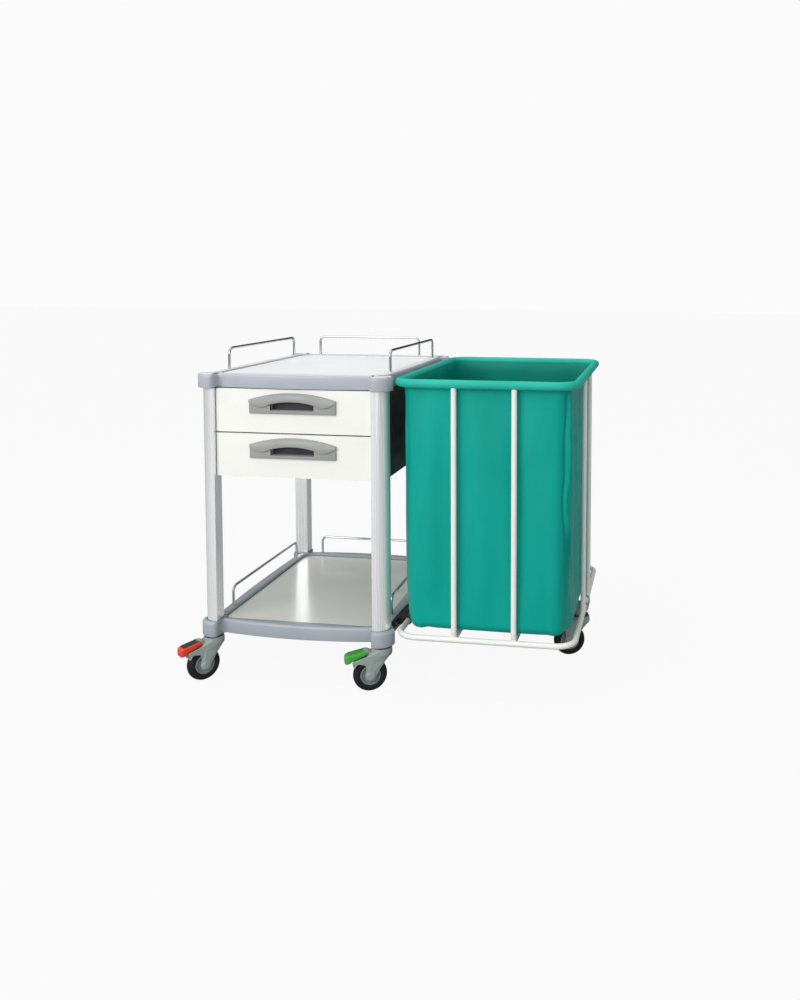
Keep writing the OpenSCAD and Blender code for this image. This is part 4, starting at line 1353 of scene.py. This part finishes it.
def add_pedal(caster, cap_finish, insert_finish, slot):
    """Brake pedal: a grey lever on its pivot, with a coloured cap and a tread pad."""
    name, body = f"{caster.name}_pedal", f"{caster.name}_brake"
    sections = in_mm((32, 10, 110, 118), (36, 12, 109.7, 123), (44, 14, 112, 126), (52, 15, 113, 125),
                     (56, 15, 113, 123))
    root = loft([squared_ring(*section, 0.5, 20) for section in sections], True, True)
    pin_ends = [(PIVOT_R, -PIVOT_HALF), (PIVOT_R, PIVOT_HALF)]
    pin = lathe(pin_ends, 20, Vector((38 * MM, 0, 112 * MM)), Vector((0, 1, 0)))
    add_piece(f"{name}_lever", caster.placed(joined([root, pin])), CASTER_GREY, body, "caster_grey", 45)
    cap = add_piece(f"{name}_cap", caster.placed(loft(pad_rings(), True, True)), cap_finish, body, slot, 45)
    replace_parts(cap, name)
    add_piece(f"{name}_treads", caster.placed(tread_shapes()), insert_finish, body, slot, 45)


def add_casters():
    """Forks, hubs, tyres and pedals, each on its own body."""
    fork = fork_shape()
    hub, tyre = wheel_shapes()
    for name in CASTERS:
        caster = Caster(name)
        for piece, part, body, shape, finish, slot, crease in (
            ("fork_casting", "fork", "swivel", fork, CASTER_GREY, "caster_grey", 60),
            ("wheel_hub", "hub", "wheel", hub, HUB_GREY, "hub_grey", 28),
            ("wheel_tyre", "tyre", "wheel", tyre, TYRE, "tyre_rubber", 28),
        ):
            made = add_piece(f"{name}_{piece}", caster.placed(shape), finish, f"{name}_{body}", slot, crease)
            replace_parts(made, f"{name}_{part}")
    add_pedal(Caster("front_left"), RED, BLACK, "pedal_red")
    add_pedal(Caster("front_right"), GREEN, GREEN_TREAD, "pedal_green")


# ------------------------------------------------------------------ assembly

add_moulded_frame("top_frame", GREY_FRAME, DECK_LOW.z, "deck_panel")
add_moulded_frame("shelf_frame", GREY_SHELF_SHADED, SHELF_LOW.z, "shelf_panel")
add_column_collars()
add_panel_groove_shade("shelf_panel_groove_shade", "shelf_panel")
add_handle("upper")
add_handle("lower")
add_bag_body()
add_hem()
add_stitching()
add_weld_beads()
add_casters()


# ------------------------------------------------------------------ stage, light, camera

CAMERA_FROM_CART = Vector((1.0889, -3.0220, 1.2180))
CAMERA_YAW = 9.38
CAMERA_PITCH = 3.925
CAMERA_ROLL = 0.18
CAMERA_LENS = 34.52
CAMERA_SHIFTS = {"shift_x": -0.112, "shift_y": -0.1584}
SHIFT_REACH = 20 * MM
FLOOR_GLOW = 0.93
STUDIO_FRONT = 0.86
STUDIO_BACK = 0.05
STUDIO_TOP = 0.34


def build_floor():
    """Pale floor with faint contact shadows."""
    bpy.ops.mesh.primitive_plane_add(size=60)
    floor = bpy.context.object
    floor.name = "floor"
    finish = Finish("floor", linear(170, 170, 170), 0.9)
    finish.blend(finish.ramp(finish.noise(1.5, 3), 0, 1), linear(166, 166, 166))
    glow = finish.node("Emission", Color=linear(255, 255, 255)).outputs["Emission"]
    share = finish.maths("MULTIPLY", finish.for_camera(), FLOOR_GLOW)
    surface = finish.mixed(share, finish.shader.outputs["BSDF"], glow)
    finish.feed(finish.tree.nodes["Material Output"].inputs["Surface"], surface)
    floor.data.materials.append(finish.material)


def build_world():
    """Near-white backdrop for the camera, and a studio with darker walls for light and reflections."""
    world = bpy.data.worlds.new("studio")
    world.use_nodes = True
    shading = Shading(world.node_tree)
    backdrop = shading.node("Background", Color=linear(251, 251, 251)).outputs["Background"]
    parts = shading.split(shading.node("TexCoord").outputs["Generated"])
    slant = shading.maths("MULTIPLY_ADD", parts["X"], 0.3, parts["Y"])
    behind = shading.ramp(slant, STUDIO_FRONT, STUDIO_BACK, -0.2, 0.9, "SMOOTHSTEP")
    above = shading.ramp(parts["Z"], 0.0, STUDIO_TOP, 0.1, 0.75, "SMOOTHSTEP")
    studio = shading.node("Background", Strength=shading.maths("ADD", behind, above)).outputs["Background"]
    surface = shading.mixed(shading.for_camera(), studio, backdrop)
    shading.feed(shading.tree.nodes["World Output"].inputs["Surface"], surface)
    bpy.context.scene.world = world
    bpy.context.scene.view_settings.view_transform = "Standard"


def area_light(name, place, target, size, power):
    light = bpy.data.lights.new(name, "AREA")
    light.size = size
    light.energy = power
    lamp = add_object(name, light)
    lamp.location = place
    lamp.rotation_euler = (Vector(target) - Vector(place)).to_track_quat("-Z", "Y").to_euler()


def build_lights():
    aim = (0, 0, 0.5)
    area_light("key", (-1.8, -4.2, 2.4), aim, 2.5, 104)
    area_light("fill", (0.9, -4.2, 1.2), aim, 2.0, 8)
    area_light("top", (0, 0.4, 3.4), (0, 0, 0.9), 3.0, 24)


def shift_only_from(camera, channel, shift):
    """Drives a lens shift by the camera's x, so that it is 0 wherever else the camera is put."""
    curve = camera.data.driver_add(channel)
    while curve.modifiers:
        curve.modifiers.remove(curve.modifiers[0])
    curve.driver.type = "SUM"
    variable = curve.driver.variables.new()
    variable.type = "TRANSFORMS"
    variable.targets[0].id = camera
    variable.targets[0].transform_type = "LOC_X"
    for away, value in ((-2, 0), (-1, shift), (1, shift), (2, 0)):
        key = curve.keyframe_points.insert(camera.location.x + away * SHIFT_REACH, value)
        key.interpolation = "LINEAR"


def build_camera():
    """Camera at the photograph's viewing angle."""
    camera = add_object("camera", bpy.data.cameras.new("camera"))
    camera.data.lens = CAMERA_LENS
    camera.data.sensor_width = 36
    camera.location = Vector((CART.x, CART.y, 0)) + CAMERA_FROM_CART
    yaw = Matrix.Rotation(math.radians(CAMERA_YAW), 4, "Z")
    pitch = Matrix.Rotation(math.radians(90 - CAMERA_PITCH), 4, "X")
    roll = Matrix.Rotation(math.radians(CAMERA_ROLL), 4, "Z")
    camera.rotation_euler = (yaw @ pitch @ roll).to_euler()
    bpy.context.scene.camera = camera
    for channel, shift in CAMERA_SHIFTS.items():
        shift_only_from(camera, channel, shift)


build_floor()
build_world()
build_lights()
build_camera()
